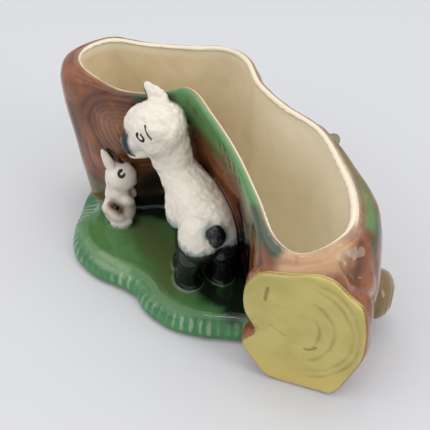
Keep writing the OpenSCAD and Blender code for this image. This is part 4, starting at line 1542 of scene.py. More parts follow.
    def paint_bark_edge(self, skin: Skin) -> None:
        """Lets the bark's brown run over the edge of the front sawn face.

        Args:
            skin: The clay, which gets the mark.
        """
        spots = np.flatnonzero(skin.is_node("front_sawn_face"))
        outline = loop(np.array(self.end_outline) * (self.end_w, self.end_h), self.steps)
        flat = self.front_place.own(skin.points[spots])
        away = np.linalg.norm(flat[:, None, 1:] - outline[None], axis=2).min(1)
        # The rounded edge itself is all bark, and the band on the face is widest low down
        away = np.where(flat[:, 0] < self.edge_round * self.sawn_t, 0.0, away)
        away = away - skin.waves(self.edge_waves)[spots]
        lower = smooth_step(flat[:, 2] - self.edge_lean * flat[:, 1], *self.edge_below)
        skin.marks["bark_edge"] = np.zeros(len(skin.points))
        skin.marks["bark_edge"][spots] = ramp(self.edge_w + self.edge_more * lower - away)

    def forms(self) -> list[Form]:
        """All the forms of the log.

        Returns:
            The forms, which run into each other.
        """
        return [
            self.trough(),
            self.front_end(),
            self.stub("side_stub", self.side_place, self.side_stub_r, self.side_stub_reach),
            self.stub("back_stub", self.back_place, self.back_stub_r, self.back_stub_reach),
            self.twig(),
        ]


@dataclass
class Bank:
    """The grass bank in the bend of the log, and the bare foot under the whole pot."""

    log: Log
    bank_h: float = 14.0
    edge_w: float = 10.0
    foot_inset: float = 1.0
    # Half the foot's width under the front end against that end's width, and how far the foot
    # reaches up into the clay above it
    foot_side: float = 0.21
    foot_overlap: float = 0.3
    overhang: float = 1.2
    # The bank runs out low at its left corner: the corner, how far the fall reaches and how deep it is
    low_corner: tuple[float, float] = (-98.0, -27.0)
    low_reach: float = 19.0
    low_share: float = 0.75
    # Points between two rows of the outline, and rings from the table up to the top
    steps: int = 16
    edge_steps: int = 24
    # The outline, as shares of the log's half length and half depth
    rows: Rows = (
        (-0.87, -0.18), (-0.86, -0.38), (-0.76, -0.60), (-0.65, -0.83), (-0.52, -0.99),
        (-0.35, -1.00), (-0.19, -0.89), (-0.09, -0.85), (0.01, -0.89), (0.16, -0.85), (0.29, -0.70),
        (0.405, -0.49), (0.54, -0.24), (0.42, -0.09), (0.25, 0.12), (0.00, 0.28), (-0.25, 0.34),
        (-0.42, 0.235), (-0.50, 0.125), (-0.585, -0.09), (-0.665, -0.175),
    )
    # The edge's profile, inwards and up
    edge: Rows = ((0, 0), (0.04, 0.30), (0.22, 0.66), (0.58, 0.92), (1, 1))
    # Colours sprayed on the grass. The dark along the log's foot is black spray and painted shade together;
    # under and beside the lamb's legs and round the rabbit it is painted shade
    sprays: tuple[Stroke, ...] = (
        Stroke(
            (
                (-62, -10, 14), (-54, -4, 14), (-36, 4, 14), (-14, 8, 14), (8, 8, 14), (24, 0, 14),
                (34, -10, 14), (42, -22, 12),
            ),
            8.0, "dark", 1.3,
        ),
        # Painted shade under and beside the lamb's legs
        Stroke(((10, 0, 14), (22, -8, 14), (32, -20, 13)), 9.0, "dark", 0.9),
        Stroke(((0, -10, 14), (14, -16, 14), (24, -24, 14)), 9.0, "dark", 0.95),
        Stroke(((20, -24, 14), (30, -23, 13), (40, -19, 12), (48, -16, 12)), 6.0, "dark", 1.1),
        Stroke(((-66, -20, 14), (-60, -20, 14), (-54, -22, 14)), 6.0, "dark", 0.8),
        Stroke(((-46, -20, 14), (-30, -22, 14), (-14, -26, 14), (2, -32, 14)), 14.0, "olive", 1.0),
        # Painted shade at the rabbit's feet
        Stroke(((-69, -30, 14), (-62, -32.5, 14), (-55, -29, 14)), 2.2, "dark", 0.9),
        Stroke(
            ((-72, -49, 10), (-58, -54, 11), (-41, -56, 11.5), (-33, -54, 11), (-23, -50, 11)),
            4.0, "pale", 0.55,
        ),
        Stroke(((-44, -52, 13), (-34, -50.5, 13.5), (-24, -48, 13)), 3.6, "pale", 0.6),
        Stroke(((-10, -48.8, 11), (6, -49, 11), (20, -44, 11)), 3.5, "pale", 0.35),
        Stroke(
            (
                (-98, -32, 6), (-92, -44, 6), (-80, -54, 6), (-62, -62, 6), (-40, -62, 6),
                (-20, -56, 6), (0, -54, 6), (20, -50, 6), (34, -40, 6), (48, -30, 6),
            ),
            4.0, "fresh", 0.8,
        ),
    )
    ridge: tuple[Stroke, ...] = (
        Stroke(
            (
                (-96, -24, 12), (-86, -32, 13), (-76, -42, 13.5), (-65, -48, 14), (-54, -50.5, 14),
                (-44, -49.5, 14), (-34, -46, 14), (-22, -42.5, 14), (-11, -41, 14), (2, -42, 14),
                (13, -41.5, 14), (22, -38.5, 13.5), (30, -32, 13), (38, -23, 12),
            ),
            2.6, "pale", 0.22, -0.3,
        ),
    )
    # The flutes: step, depth, how they stray, how strong they are and how pale their crests are
    flute_step: float = 5.2
    flute_depth: float = 0.5
    flute_stray: Rows = ((1.5, 15.0),)
    flute_mean: float = 0.8
    flute_waves: Rows = ((0.9, 13.0),)
    flute_pale: float = 0.9
    # Between what heights they come up and run out, and where the top's own green begins
    flute_from: tuple[float, float] = (3.0, 6.5)
    flute_to: tuple[float, float] = (13.8, 11.0)
    top_from: tuple[float, float] = (11.5, 13.8)
    lumps: Rows = ((0.18, 9.0),)

    def outline(self) -> np.ndarray:
        """The bank's outline on the table."""
        return loop(np.array(self.rows) * (self.log.half_l, self.log.half_d), self.steps)

    def form(self) -> Form:
        """The bank, from the table up to its flat top.

        Returns:
            The form, with the distance along its outline as a fact.
        """
        base = self.outline()
        rings = []
        at = np.linspace(0, len(self.edge) - 1, self.edge_steps)
        for share, height in curve(np.array(self.edge, float), at):
            ring = moved_out(base, self.overhang - share * self.edge_w)
            away = np.linalg.norm(ring[:, :2] - self.low_corner, axis=1)
            full = 1 - self.low_share * np.exp(-((away / self.low_reach) ** 2))
            rings.append(np.c_[ring, self.log.foot_t + (self.bank_h - self.log.foot_t) * height * full])
        rings = np.array(rings)
        step = np.linalg.norm(np.roll(base, -1, 0) - base, axis=1)
        return loft("grass_bank", rings, {"along": np.broadcast_to(np.cumsum(step), rings.shape[:2])})

    def decorate(self, skin: Skin) -> None:
        """Cuts the fluted edge, sprays the greens and paints shade under the lamb and round the rabbit.

        Args:
            skin: The clay, which it changes.
        """
        grass = skin.is_node("grass_bank")
        z = skin.points[:, 2]
        along = skin.marks["along"] + skin.waves(self.flute_stray)
        wave = 0.5 + 0.5 * np.cos(2 * math.pi * along / self.flute_step)
        uneven = self.flute_mean + skin.waves(self.flute_waves)
        band = smooth_step(z, *self.flute_from) * smooth_step(z, *self.flute_to) * grass * uneven
        skin.mark("pale", grass, np.clip(wave**2 * band * self.flute_pale, 0, 1)[grass])
        skin.push(self.flute_depth * (wave - 0.5) * skin.spread(band, 3))
        skin.carve(self.ridge, grass)
        skin.carve(self.sprays, grass)
        skin.marks["top"] = smooth_step(z, *self.top_from) * grass
        skin.push(skin.waves(self.lumps) * skin.spread(grass.astype(float), 3))

    def foot(self) -> list[Form]:
        """The bare clay slab that the glaze stops short of.

        Returns:
            Its forms: under the log, under the bank and under the log's front end.
        """
        found = []
        reach, side = self.log.reach, self.foot_side * self.log.end_w
        front = self.log.sawn_t - self.foot_inset
        corners = [[front, -side, 0], [front, side, 0], [-reach, side, 0], [-reach, -side, 0]]
        under_end = self.log.front_place.out(np.array(corners))[:, :2]
        for outline in (self.log.outline(0)[:, :2], self.outline(), under_end):
            if len(outline) > 4:
                outline = moved_out(outline, -self.foot_inset)
            low = np.c_[outline, np.zeros(len(outline))]
            high = np.c_[outline, np.full(len(outline), self.log.foot_t + self.foot_overlap)]
            found.append(loft("foot", np.array([low, high])))
        return found


# The animals


@dataclass
class Lamb:
    """The standing lamb, which looks down at the rabbit.

    The rows are stations of a limb, as shares of the height: forward, left, up, half width and half
    height. Those of the body and the head of an animal that is even on both sides leave out left.
    """

    height: float = 96.0
    place: Place = Place((0.0, -9.9, 14.0), 166.0)
    # How far the head is turned from the body, in degrees, and where its middle is
    head_turn: float = 60.0
    skull: Spot = (0.336, 0.111, 0.815)
    body: Rows = (
        (-0.255, 0.00, 0.35, 0.03, 0.03), (-0.235, 0.00, 0.35, 0.09, 0.09),
        (-0.18, 0.00, 0.36, 0.145, 0.150), (-0.075, 0.00, 0.385, 0.168, 0.175),
        (0.02, 0.005, 0.43, 0.168, 0.168), (0.09, 0.01, 0.47, 0.158, 0.158),
        (0.155, 0.02, 0.51, 0.140, 0.140), (0.22, 0.035, 0.56, 0.122, 0.122),
        (0.262, 0.055, 0.61, 0.110, 0.110), (0.288, 0.080, 0.68, 0.104, 0.104),
        (0.315, 0.105, 0.76, 0.090, 0.090),
    )
    head: Rows = (
        (-0.170, 0.02, 0.03, 0.03), (-0.146, 0.02, 0.09, 0.09), (-0.083, 0.02, 0.146, 0.148),
        (0.00, 0.01, 0.168, 0.173), (0.070, -0.005, 0.148, 0.158), (0.112, -0.035, 0.110, 0.120),
        (0.143, -0.068, 0.088, 0.090), (0.172, -0.092, 0.077, 0.076), (0.198, -0.102, 0.060, 0.060),
        (0.211, -0.106, 0.028, 0.028),
    )
    # A leg's second number is how far it runs in towards the middle from where its foot stands
    leg: Rows = (
        (0.022, 0, -0.02, 0.070, 0.084), (0.020, 0, 0.035, 0.074, 0.088),
        (0.006, 0, 0.075, 0.062, 0.066), (0, 0, 0.13, 0.058, 0.062),
        (0.005, 0.12, 0.20, 0.076, 0.088), (0.01, 0.30, 0.27, 0.078, 0.092),
        (0.01, 0.50, 0.33, 0.050, 0.060),
    )
    # Where the feet stand, and how thick the legs are
    front_legs: Rows = ((0.0, -0.10), (0.0, 0.12))
    hind_legs: Rows = ((-0.175, -0.045), (-0.125, 0.145))
    front_leg_size: float = 0.88
    hind_leg_size: float = 1.15
    tail: Rows = (
        (-0.225, 0.03, 0.50, 0.024, 0.020), (-0.252, 0.03, 0.47, 0.046, 0.030),
        (-0.262, 0.03, 0.43, 0.054, 0.030), (-0.256, 0.03, 0.385, 0.040, 0.024),
        (-0.245, 0.03, 0.36, 0.012, 0.010),
    )
    left_ear: Rows = (
        (0.050, 0.125, 0.085, 0.026, 0.018), (0.01, 0.148, 0.080, 0.050, 0.026),
        (-0.04, 0.152, 0.060, 0.056, 0.024), (-0.09, 0.140, 0.030, 0.044, 0.020),
        (-0.125, 0.120, 0.005, 0.012, 0.008),
    )
    right_ear: Rows = (
        (-0.015, -0.075, 0.110, 0.060, 0.030), (0.00, -0.095, 0.145, 0.066, 0.034),
        (0.030, -0.120, 0.175, 0.052, 0.028), (0.065, -0.145, 0.203, 0.028, 0.018),
        (0.085, -0.155, 0.218, 0.008, 0.006),
    )
    # Forms that the clay was built up with: nape, shoulders, haunches and jaw
    swells: tuple[Rows, ...] = (
        (
            (0.290, 0.04, 0.84, 0.07, 0.07), (0.268, 0.035, 0.76, 0.088, 0.085),
            (0.235, 0.035, 0.67, 0.088, 0.085), (0.195, 0.025, 0.58, 0.095, 0.090),
            (0.13, 0.015, 0.52, 0.09, 0.09), (0.06, 0.0, 0.49, 0.05, 0.05),
        ),
        (
            (0.14, 0.06, 0.54, 0.05, 0.05), (0.12, 0.085, 0.48, 0.080, 0.080),
            (0.090, 0.098, 0.40, 0.088, 0.094), (0.065, 0.104, 0.33, 0.080, 0.088),
            (0.04, 0.108, 0.26, 0.045, 0.05),
        ),
        (
            (0.14, -0.03, 0.54, 0.05, 0.05), (0.12, -0.05, 0.48, 0.078, 0.078),
            (0.090, -0.065, 0.40, 0.083, 0.088), (0.065, -0.075, 0.33, 0.073, 0.083),
            (0.04, -0.085, 0.26, 0.045, 0.05),
        ),
        (
            (-0.10, 0.04, 0.48, 0.09, 0.09), (-0.125, 0.06, 0.43, 0.125, 0.125),
            (-0.145, 0.08, 0.36, 0.132, 0.135), (-0.155, 0.088, 0.29, 0.115, 0.120),
            (-0.16, 0.09, 0.22, 0.06, 0.06),
        ),
        (
            (-0.12, -0.02, 0.46, 0.07, 0.07), (-0.14, -0.035, 0.41, 0.100, 0.105),
            (-0.155, -0.050, 0.35, 0.105, 0.115), (-0.16, -0.060, 0.28, 0.085, 0.10),
            (-0.16, -0.065, 0.22, 0.05, 0.05),
        ),
    )
    jaw: Rows = (
        (0.03, 0.0, -0.10, 0.06, 0.05), (0.07, 0.0, -0.115, 0.082, 0.062),
        (0.12, 0.0, -0.137, 0.070, 0.054), (0.165, 0.0, -0.150, 0.054, 0.044),
        (0.188, 0.0, -0.154, 0.02, 0.02),
    )
    # Creases behind the shoulders and between the haunches, with painted shade in them, in the frame of the
    # body
    crease: tuple[Stroke, ...] = (
        Stroke(
            ((3, 15.5, 51), (0.5, 17.5, 46), (-1.5, 19, 40), (-2, 18.5, 34), (-2, 16, 28)),
            2.0, "shade", 0.45, 0.9,
        ),
        Stroke(
            ((3, -13.5, 51), (0.5, -15.5, 46), (-1.5, -17, 40), (-2, -16.5, 34)),
            2.0, "shade", 0.45, 0.9,
        ),
        Stroke(((-27, 2.6, 40), (-26, 2.6, 34), (-23, 2.6, 28)), 1.8, "shade", 0.4, 0.9),
    )
    # The brow and its painted shade, the dark muzzle, the mouth, painted shade under the jaw and the ridges
    # over the eyes with painted shade on them
    head_cuts: tuple[Stroke, ...] = (
        Stroke(
            ((15.5, 9, 1.0), (17.5, 5, 0.6), (18.3, 0, 0.2), (17.5, -5, 0.6), (15.5, -9, 1.0)),
            3.2, "shade", 0.25, 2.6,
        ),
        Stroke(((18.5, 5, -1.5), (17.8, 6.8, -5), (17, 7.4, -9), (16.8, 6.5, -12)), 3.6, "slate", 1.1),
        Stroke(((18.5, -5, -1.5), (17.8, -6.8, -5), (17, -7.4, -9), (16.8, -6.5, -12)), 3.6, "slate", 1.1),
        Stroke(((20.5, 0, -3), (21.5, 0, -7), (20.5, 0, -12)), 4.2, "slate", 0.9),
        Stroke(((19, 2.5, -2), (18.6, 4.8, -4.5), (17.8, 6.4, -8.5), (17.5, 6, -11)), 3.0, "black", 1.2),
        Stroke(
            ((19, -2.5, -2), (18.6, -4.8, -4.5), (17.8, -6.4, -8.5), (17.5, -6, -11)),
            3.0, "black", 1.2,
        ),
        Stroke(((16, 7.6, -2), (15, 8.4, -6), (14.5, 8.4, -11)), 3.6, "teal", 0.5),
        Stroke(((16, -7.6, -2), (15, -8.4, -6), (14.5, -8.4, -11)), 3.6, "teal", 0.5),
        Stroke(
            ((17.5, 5.5, -13), (18.5, 2, -14), (18.5, -2, -14), (17.5, -5.5, -13)),
            0.9, "slate", 0.9, 0.5,
        ),
        Stroke(((12, 0, -17), (4, 0, -16), (-2, 0, -17)), 5.5, "shade", 0.8),
        Stroke(((10.5, 12, 4), (9, 14.5, 8), (5, 16, 9)), 1.2, "shade", 0.3, -0.35),
        Stroke(((10.5, -12, 4), (9, -14.5, 8), (5, -16, 9)), 1.2, "shade", 0.3, -0.35),
    )
    # Dark patches beside the tail
    body_sprays: tuple[Stroke, ...] = (
        Stroke(((-24, 5, 50), (-23, 6, 45), (-21, 6.5, 39)), 5.0, "teal", 1.2),
        Stroke(((-26, -0.5, 52), (-26, -0.8, 46), (-24, -0.6, 39)), 5.0, "teal", 1.2),
        Stroke(((-24.5, 6.0, 48), (-23.5, 6.4, 44.0), (-22.5, 5.6, 40.0)), 3.0, "black", 1.35),
        Stroke(((-26, 0.2, 50.5), (-26.4, -0.4, 45.5), (-24.6, 0.2, 40.5)), 3.0, "black", 1.35),
        Stroke(((-24, 4.5, 41), (-24.5, 2.5, 39.5)), 2.6, "black", 1.2),
    )
    # How high over its feet the black of the legs ends
    black_from: float = 33.0
    # Over these distances from there the black and the blue-grey round it run out, in specks
    black_fade: tuple[float, float] = (3.0, -3.0)
    teal_fade: tuple[float, float] = (7.0, 0.0)
    specks: Rows = ((2.4, 3.0), (1.5, 1.2))
    tail_black: float = 0.74
    # The wool's curls, and how full they are low on the body, where they rise and where they begin
    curls: Rows = ((0.5, 4.4), (0.6, 2.5))
    curls_low: float = 0.55
    curls_rise: tuple[float, float] = (45.0, 60.0)
    curls_from: tuple[float, float] = (30.0, 38.0)
    # The face has none: forward of the first span and below the second, in the frame of the head
    face_ahead: tuple[float, float] = (1.0, 10.0)
    face_below: tuple[float, float] = (12.0, 2.0)

    def lines(self) -> tuple[BrushLine, ...]:
        """What is brushed on the head with a fine brush.

        Returns:
            The rings round both eyes, the folds at the ears' roots, the mouth and a line in one ear.
        """
        head, found = self.head_place(), []
        for side in (1, -1):
            eye, out, low = (7.5, 13.5 * side, 5.0), (0.35, side, 0.25), (0.4, side, 0.1)
            corner, mouth = (15.8, 5.0 * side, -12.6), (13.0, 6.8 * side, -13.2)
            found += [
                BrushRing(
                    head, eye, (9.4, 13.5 * side, 6.8), out, 1.45,
                    across=1.45, opening=-40.0 * side, opening_size=15.0,
                ),
                BrushLine(head, (4.8, 11.7 * side, 11.3), (0.8, 15.2 * side, 6.0), out, 1.2, "#26292b"),
                BrushLine(head, corner, mouth, low, 1.3, "#2a2d30"),
            ]
        found.append(BrushLine(head, (9.2, -14.6, 20.8), (7.0, -8.5, 14.0), (1.0, 0.3, 0.4), 1.7, "#3a4346"))
        return tuple(found)

    def decorate(self, skin: Skin) -> None:
        """Models the wool, sprays the black points and paints shade in the creases, on the brow and under
        the jaw.

        Args:
            skin: The clay, which it changes.
        """
        fur = skin.is_node("lamb_body", "lamb_head", "lamb_left_ear", "lamb_right_ear")
        every = fur | skin.is_node("lamb_front_legs", "lamb_hind_legs", "lamb_tail")
        own = self.place.own(skin.points)
        head = self.head_place()
        skin.carve(self.crease, skin.is_node("lamb_body"), self.place)
        skin.carve(self.head_cuts, skin.is_node("lamb_head"), head)
        skin.carve(self.body_sprays, skin.is_node("lamb_body", "lamb_tail"), self.place)
        above = own[:, 2] - self.black_from + skin.waves(self.specks)
        skin.mark("teal", every, smooth_step(above, *self.teal_fade)[every])
        skin.mark("black", every, smooth_step(above, *self.black_fade)[every])
        skin.mark("black", skin.is_node("lamb_front_legs", "lamb_hind_legs"), 1.0)
        skin.mark("black", skin.is_node("lamb_tail"), self.tail_black)
        face = head.own(skin.points)
        smooth_face = smooth_step(face[:, 0], *self.face_ahead) * smooth_step(face[:, 2], *self.face_below)
        woolly = fur * (1 - smooth_face * skin.is_node("lamb_head"))
        woolly = woolly * smooth_step(own[:, 2], *self.curls_from)
        low = self.curls_low
        full = low + (1 - low) * smooth_step(own[:, 2], *self.curls_rise)
        skin.push(skin.waves(self.curls) * skin.spread(woolly, 4) * full)

    def head_place(self) -> Place:
        """Where the head stands, and the way that it looks."""
        origin = self.place.out(np.array(self.skull) * self.height)
        return Place(tuple(origin), self.place.turn + self.head_turn)

    def limb(self, node: str, place: Place, rows: Rows | np.ndarray, up: Spot) -> Form:
        """One tapering form of the animal, from shares of its height."""
        rings = limb_rings(np.array(rows) * self.height, up)
        return loft(node, place.out(rings.reshape(-1, 3)).reshape(rings.shape))

    def forms(self) -> list[Form]:
        """All the forms of the lamb.

        Returns:
            The forms, which run into each other.
        """
        head = np.insert(np.array(self.head), 1, 0.0, axis=1)
        where = self.head_place()
        found = [
            self.limb("lamb_body", self.place, self.body, (-0.5, 0, 1)),
            self.limb("lamb_head", where, head, (0, 0, 1)),
            self.limb("lamb_left_ear", where, self.left_ear, (0, 1, 0)),
            self.limb("lamb_right_ear", where, self.right_ear, (0, 1, 0)),
            self.limb("lamb_head", where, self.jaw, (0, 0, 1)),
            self.limb("lamb_tail", self.place, self.tail, (1, 0, 0)),
        ]
        found += [self.limb("lamb_body", self.place, rows, (-0.5, 0, 1)) for rows in self.swells]
        for node, spots, thick in (
            ("lamb_front_legs", self.front_legs, self.front_leg_size),
            ("lamb_hind_legs", self.hind_legs, self.hind_leg_size),
        ):
            for x, y in spots:
                rows = np.array(self.leg)
                rows[:, 0] += x
                rows[:, 1] = y - rows[:, 1] * y
                rows[:, 3:] *= thick
                form = self.limb(node, self.place, rows, (1, 0, 0))
                form.points[:, 2] = np.maximum(form.points[:, 2], self.place.origin[2] - 1)
                found.append(form)
        return found


@dataclass
class Rabbit(Lamb):
    """The small rabbit that sits up and looks at the lamb."""

    height: float = 52.0
    place: Place = Place((-62.4, -24.0, 14.0), 46.0)
    head_turn: float = 0.0
    skull: Spot = (0.03, 0.0, 0.66)
    body: Rows = (
        (-0.02, -0.02, 0.10, 0.10), (-0.02, 0.03, 0.160, 0.170), (-0.015, 0.14, 0.190, 0.200),
        (-0.01, 0.27, 0.170, 0.175), (0.00, 0.39, 0.135, 0.135), (0.01, 0.50, 0.120, 0.115),
        (0.01, 0.58, 0.10, 0.10),
    )
    head: Rows = (
        (-0.150, 0.02, 0.03, 0.03), (-0.130, 0.02, 0.10, 0.10), (-0.070, 0.02, 0.155, 0.160),
        (0.000, 0.00, 0.175, 0.180), (0.085, -0.03, 0.150, 0.165), (0.150, -0.05, 0.110, 0.120),
        (0.185, -0.06, 0.06, 0.065), (0.195, -0.06, 0.02, 0.02),
    )
    forepaw: Rows = (
        (0.04, 0.08, 0.40, 0.05, 0.05), (0.11, 0.09, 0.37, 0.060, 0.060),
        (0.15, 0.07, 0.32, 0.052, 0.050), (0.175, 0.055, 0.285, 0.02, 0.02),
    )
    hind_foot: Rows = (
        (-0.10, 0.13, 0.05, 0.06, 0.05), (0.02, 0.15, 0.06, 0.078, 0.062),
        (0.10, 0.13, 0.055, 0.064, 0.058), (0.15, 0.12, 0.045, 0.030, 0.028),
    )
    tail: Rows = (
        (-0.12, -0.05, 0.19, 0.06, 0.06), (-0.155, -0.07, 0.20, 0.080, 0.080),
        (-0.185, -0.085, 0.21, 0.064, 0.064), (-0.205, -0.095, 0.215, 0.02, 0.02),
    )
    nape: Rows = (
        (-0.07, 0.0, 0.74, 0.06, 0.06), (-0.07, 0.0, 0.62, 0.080, 0.075),
        (-0.065, 0.0, 0.50, 0.085, 0.080), (-0.08, 0.0, 0.36, 0.10, 0.09),
        (-0.09, 0.0, 0.24, 0.05, 0.05),
    )
    haunch: Rows = (
        (-0.10, 0.10, 0.34, 0.04, 0.04), (-0.075, 0.125, 0.29, 0.085, 0.085),
        (-0.03, 0.14, 0.20, 0.098, 0.10), (0.02, 0.14, 0.12, 0.080, 0.08),
        (0.05, 0.13, 0.07, 0.04, 0.04),
    )
    right_ear: Rows = (
        (-0.05, -0.045, 0.08, 0.050, 0.040), (-0.09, -0.052, 0.20, 0.062, 0.042),
        (-0.125, -0.057, 0.32, 0.050, 0.034), (-0.158, -0.057, 0.425, 0.014, 0.012),
    )
    left_ear: Rows = (
        (0.02, 0.035, 0.11, 0.034, 0.032), (-0.02, 0.040, 0.20, 0.046, 0.036),
        (-0.08, 0.042, 0.290, 0.042, 0.030), (-0.135, 0.035, 0.370, 0.014, 0.012),
    )
    # The painted shade on the fur at the grass: how it strays, from what height it fades in and how dark it
    # is
    base_waves: Rows = ((0.8, 3.0),)
    base_fade: tuple[float, float] = (2.4, 0.8)
    base_shade: float = 0.8
    tail_brown: float = 0.15
    fur: Rows = ((0.10, 3.0),)
    # Brown patches with a dark heart on both sides
    paint: tuple[Stroke, ...] = (
        Stroke(((-2.6, -9, 17.5), (-0.6, -9, 16)), 1.9, "black", 1.3),
        Stroke(((-3.5, -9, 18.5), (1.2, -9, 14.5)), 4.2, "brown", 1.1),
        Stroke(((1.0, -8.6, 19.0), (2.6, -9, 16.5), (2.9, -9, 14.0)), 0.9, "brown", 1.0),
        Stroke(((-1.5, -8.8, 21.0), (0.4, -9, 19.2)), 0.8, "brown", 0.8),
        Stroke(((-2.6, 9, 17.5), (-0.6, 9, 16)), 1.9, "black", 1.3),
        Stroke(((-3.5, 9, 18.5), (1.2, 9, 14.5)), 3.2, "brown", 1.0),
    )
    # Dark strokes along the ears
    ear_paint: tuple[Stroke, ...] = (
        Stroke(((-7.0, 2.0, 19.5), (-4.0, 2.4, 15), (0.6, 2.6, 9)), 3.2, "brown", 1.4),
        Stroke(((-6.4, 1.6, 18.5), (-3.6, 1.8, 14.5), (1.6, 1.8, 8.5)), 2.0, "black", 1.2),
        Stroke(((-5.2, -1.6, 11), (-3.4, -1.2, 8)), 1.0, "brown", 0.6),
    )

    def lines(self) -> tuple[BrushLine, ...]:
        """The rings round both eyes.

        Returns:
            One ring for each eye.
        """
        head, found = self.head_place(), []
        for side in (1, -1):
            eye, top = (2.5, 6.2 * side, 6.4), (2.5, 6.2 * side, 8.4)
            ring = BrushRing(
                head, eye, top, (0.3, side, 0.55), 1.9,
                across=1.55, opening=60.0 * side, opening_size=26.0,
            )
            found.append(ring)
        return tuple(found)

    def decorate(self, skin: Skin) -> None:
        """Sprays the brown points and paints shade on the fur at the ground.

        Args:
            skin: The clay, which it changes.
        """
        every = skin.is_node(*(n for n in skin.nodes if n.startswith("rabbit")))
        own = self.place.own(skin.points)
        ears = skin.is_node("rabbit_left_ear", "rabbit_right_ear", "rabbit_head")
        skin.carve(self.paint, skin.is_node("rabbit_body", "rabbit_hind_feet"), self.place)
        skin.carve(self.ear_paint, ears, self.head_place())
        # Painted shade where the fur meets the grass, laid in the black mark
        base = own[:, 2] + skin.waves(self.base_waves)
        skin.mark("black", every, smooth_step(base, *self.base_fade)[every] * self.base_shade)
        skin.mark("brown", skin.is_node("rabbit_tail"), self.tail_brown)
        skin.push(skin.waves(self.fur) * skin.spread(every.astype(float), 3))

    def forms(self) -> list[Form]:
        """All the forms of the rabbit.

        Returns:
            The forms, which run into each other.
        """
        where = self.head_place()
        level = (0, 0, 1)
        found = [
            self.limb("rabbit_body", self.place, np.insert(np.array(self.body), 1, 0.0, axis=1), (1, 0, 0)),
            self.limb("rabbit_head", where, np.insert(np.array(self.head), 1, 0.0, axis=1), level),
            self.limb("rabbit_body", self.place, self.nape, (1, 0, 0)),
            self.limb("rabbit_tail", self.place, self.tail, level),
            self.limb("rabbit_left_ear", where, self.left_ear, (0, 1, 0)),
            self.limb("rabbit_right_ear", where, self.right_ear, (0, 1, 0)),
        ]
        for side in (1, -1):
            mirror = np.array([1, side, 1, 1, 1])
            found += [
                self.limb("rabbit_body", self.place, np.array(self.haunch) * mirror, (1, 0, 0)),
                self.limb("rabbit_forepaws", self.place, np.array(self.forepaw) * mirror, level),
                self.limb("rabbit_hind_feet", self.place, np.array(self.hind_foot) * mirror, level),
            ]
        for form in found:
            form.points[:, 2] = np.maximum(form.points[:, 2], self.place.origin[2] - 1)
        return found


# Camera and studio


@dataclass(frozen=True)
class Softbox:
    """One rectangular lamp: its place and size in metres and its power in watts."""

    name: str
    at: Spot
    size: tuple[float, float]
    power: float


@dataclass(frozen=True)
class Studio:
    """The camera at the photograph's angle, a pale floor and soft light."""

    # The camera's place and what it looks at, in metres, and its focal length in mm
    eye: Spot = (0.2386, -0.2074, 0.3396)
    target: Spot = (-0.0362, 0.0315, 0.0)
    lens: float = 62.8
    clip_start: float = 0.01
    # What the lamps are turned to
    lit: Spot = (0, 0, 0.05)
    lamps: tuple[Softbox, ...] = (
        Softbox("top_panel", (-0.12, 0.12, 1.05), (1.7, 1.3), 5.4),
        Softbox("front_panel", (-0.25, -1.1, 0.9), (1.3, 0.9), 3.5),
        Softbox("right_strip", (1.0, 0.25, 0.6), (0.4, 0.9), 3.6),
        Softbox("small_lamp", (-0.1, 0.1, 1.15), (0.16, 0.16), 0.5),
    )
    world_colour: str = "#eef0f4"
    world_strength: float = 0.78
    # Matt, coated background paper: pale, almost without a sheen, it gives soft shadows
    floor_colour: str = "#d2d2d4"
    floor_roughness: float = 0.9
    floor_specular: float = 0.1
    floor_half: float = 6.0

    def camera(self) -> None:
        """Makes the scene's camera."""
        data = bpy.data.cameras.new("camera")
        data.lens = self.lens
        data.clip_start = self.clip_start
        made = bpy.data.objects.new("camera", data)
        made.location = self.eye
        look = Vector(self.target) - Vector(self.eye)
        made.rotation_euler = look.to_track_quat("-Z", "Y").to_euler()
        bpy.context.scene.collection.objects.link(made)
        bpy.context.scene.camera = made

    def lamp(self, box: Softbox) -> None:
        """Adds a lamp that looks at the pot.

        Args:
            box: The lamp.
        """
        data = bpy.data.lights.new(box.name, "AREA")
        data.shape = "RECTANGLE"
        data.size, data.size_y = box.size
        data.energy = box.power
        made = bpy.data.objects.new(box.name, data)
        made.location = box.at
        look = Vector(self.lit) - Vector(box.at)
        made.rotation_euler = look.to_track_quat("-Z", "Y").to_euler()
        bpy.context.scene.collection.objects.link(made)

    def floor(self) -> None:
        """Lays a pale floor that is also the backdrop."""
        mesh = bpy.data.meshes.new("floor")
        half = self.floor_half
        corners = [(-half, -half, 0), (half, -half, 0), (half, half, 0), (-half, half, 0)]
        mesh.from_pydata(corners, [], [(0, 1, 2, 3)])
        made = bpy.data.objects.new("floor", mesh)
        bpy.context.scene.collection.objects.link(made)
        paper = bpy.data.materials.new("matt_paper_backdrop")
        paper.use_nodes = True
        shader = paper.node_tree.nodes["Principled BSDF"]
        shader.inputs["Base Color"].default_value = linear(self.floor_colour)
        shader.inputs["Roughness"].default_value = self.floor_roughness
        shader.inputs["Specular IOR Level"].default_value = self.floor_specular
        mesh.materials.append(paper)

    def build(self) -> None:
        """Sets up camera, lamps, world and floor."""
        self.camera()
        for box in self.lamps:
            self.lamp(box)
        world = bpy.data.worlds.new("studio")
        world.use_nodes = True
        sky = world.node_tree.nodes["Background"]
        sky.inputs["Color"].default_value = linear(self.world_colour)
        sky.inputs["Strength"].default_value = self.world_strength
        bpy.context.scene.world = world
        self.floor()
        bpy.context.scene.view_settings.view_transform = "Standard"


# Painting


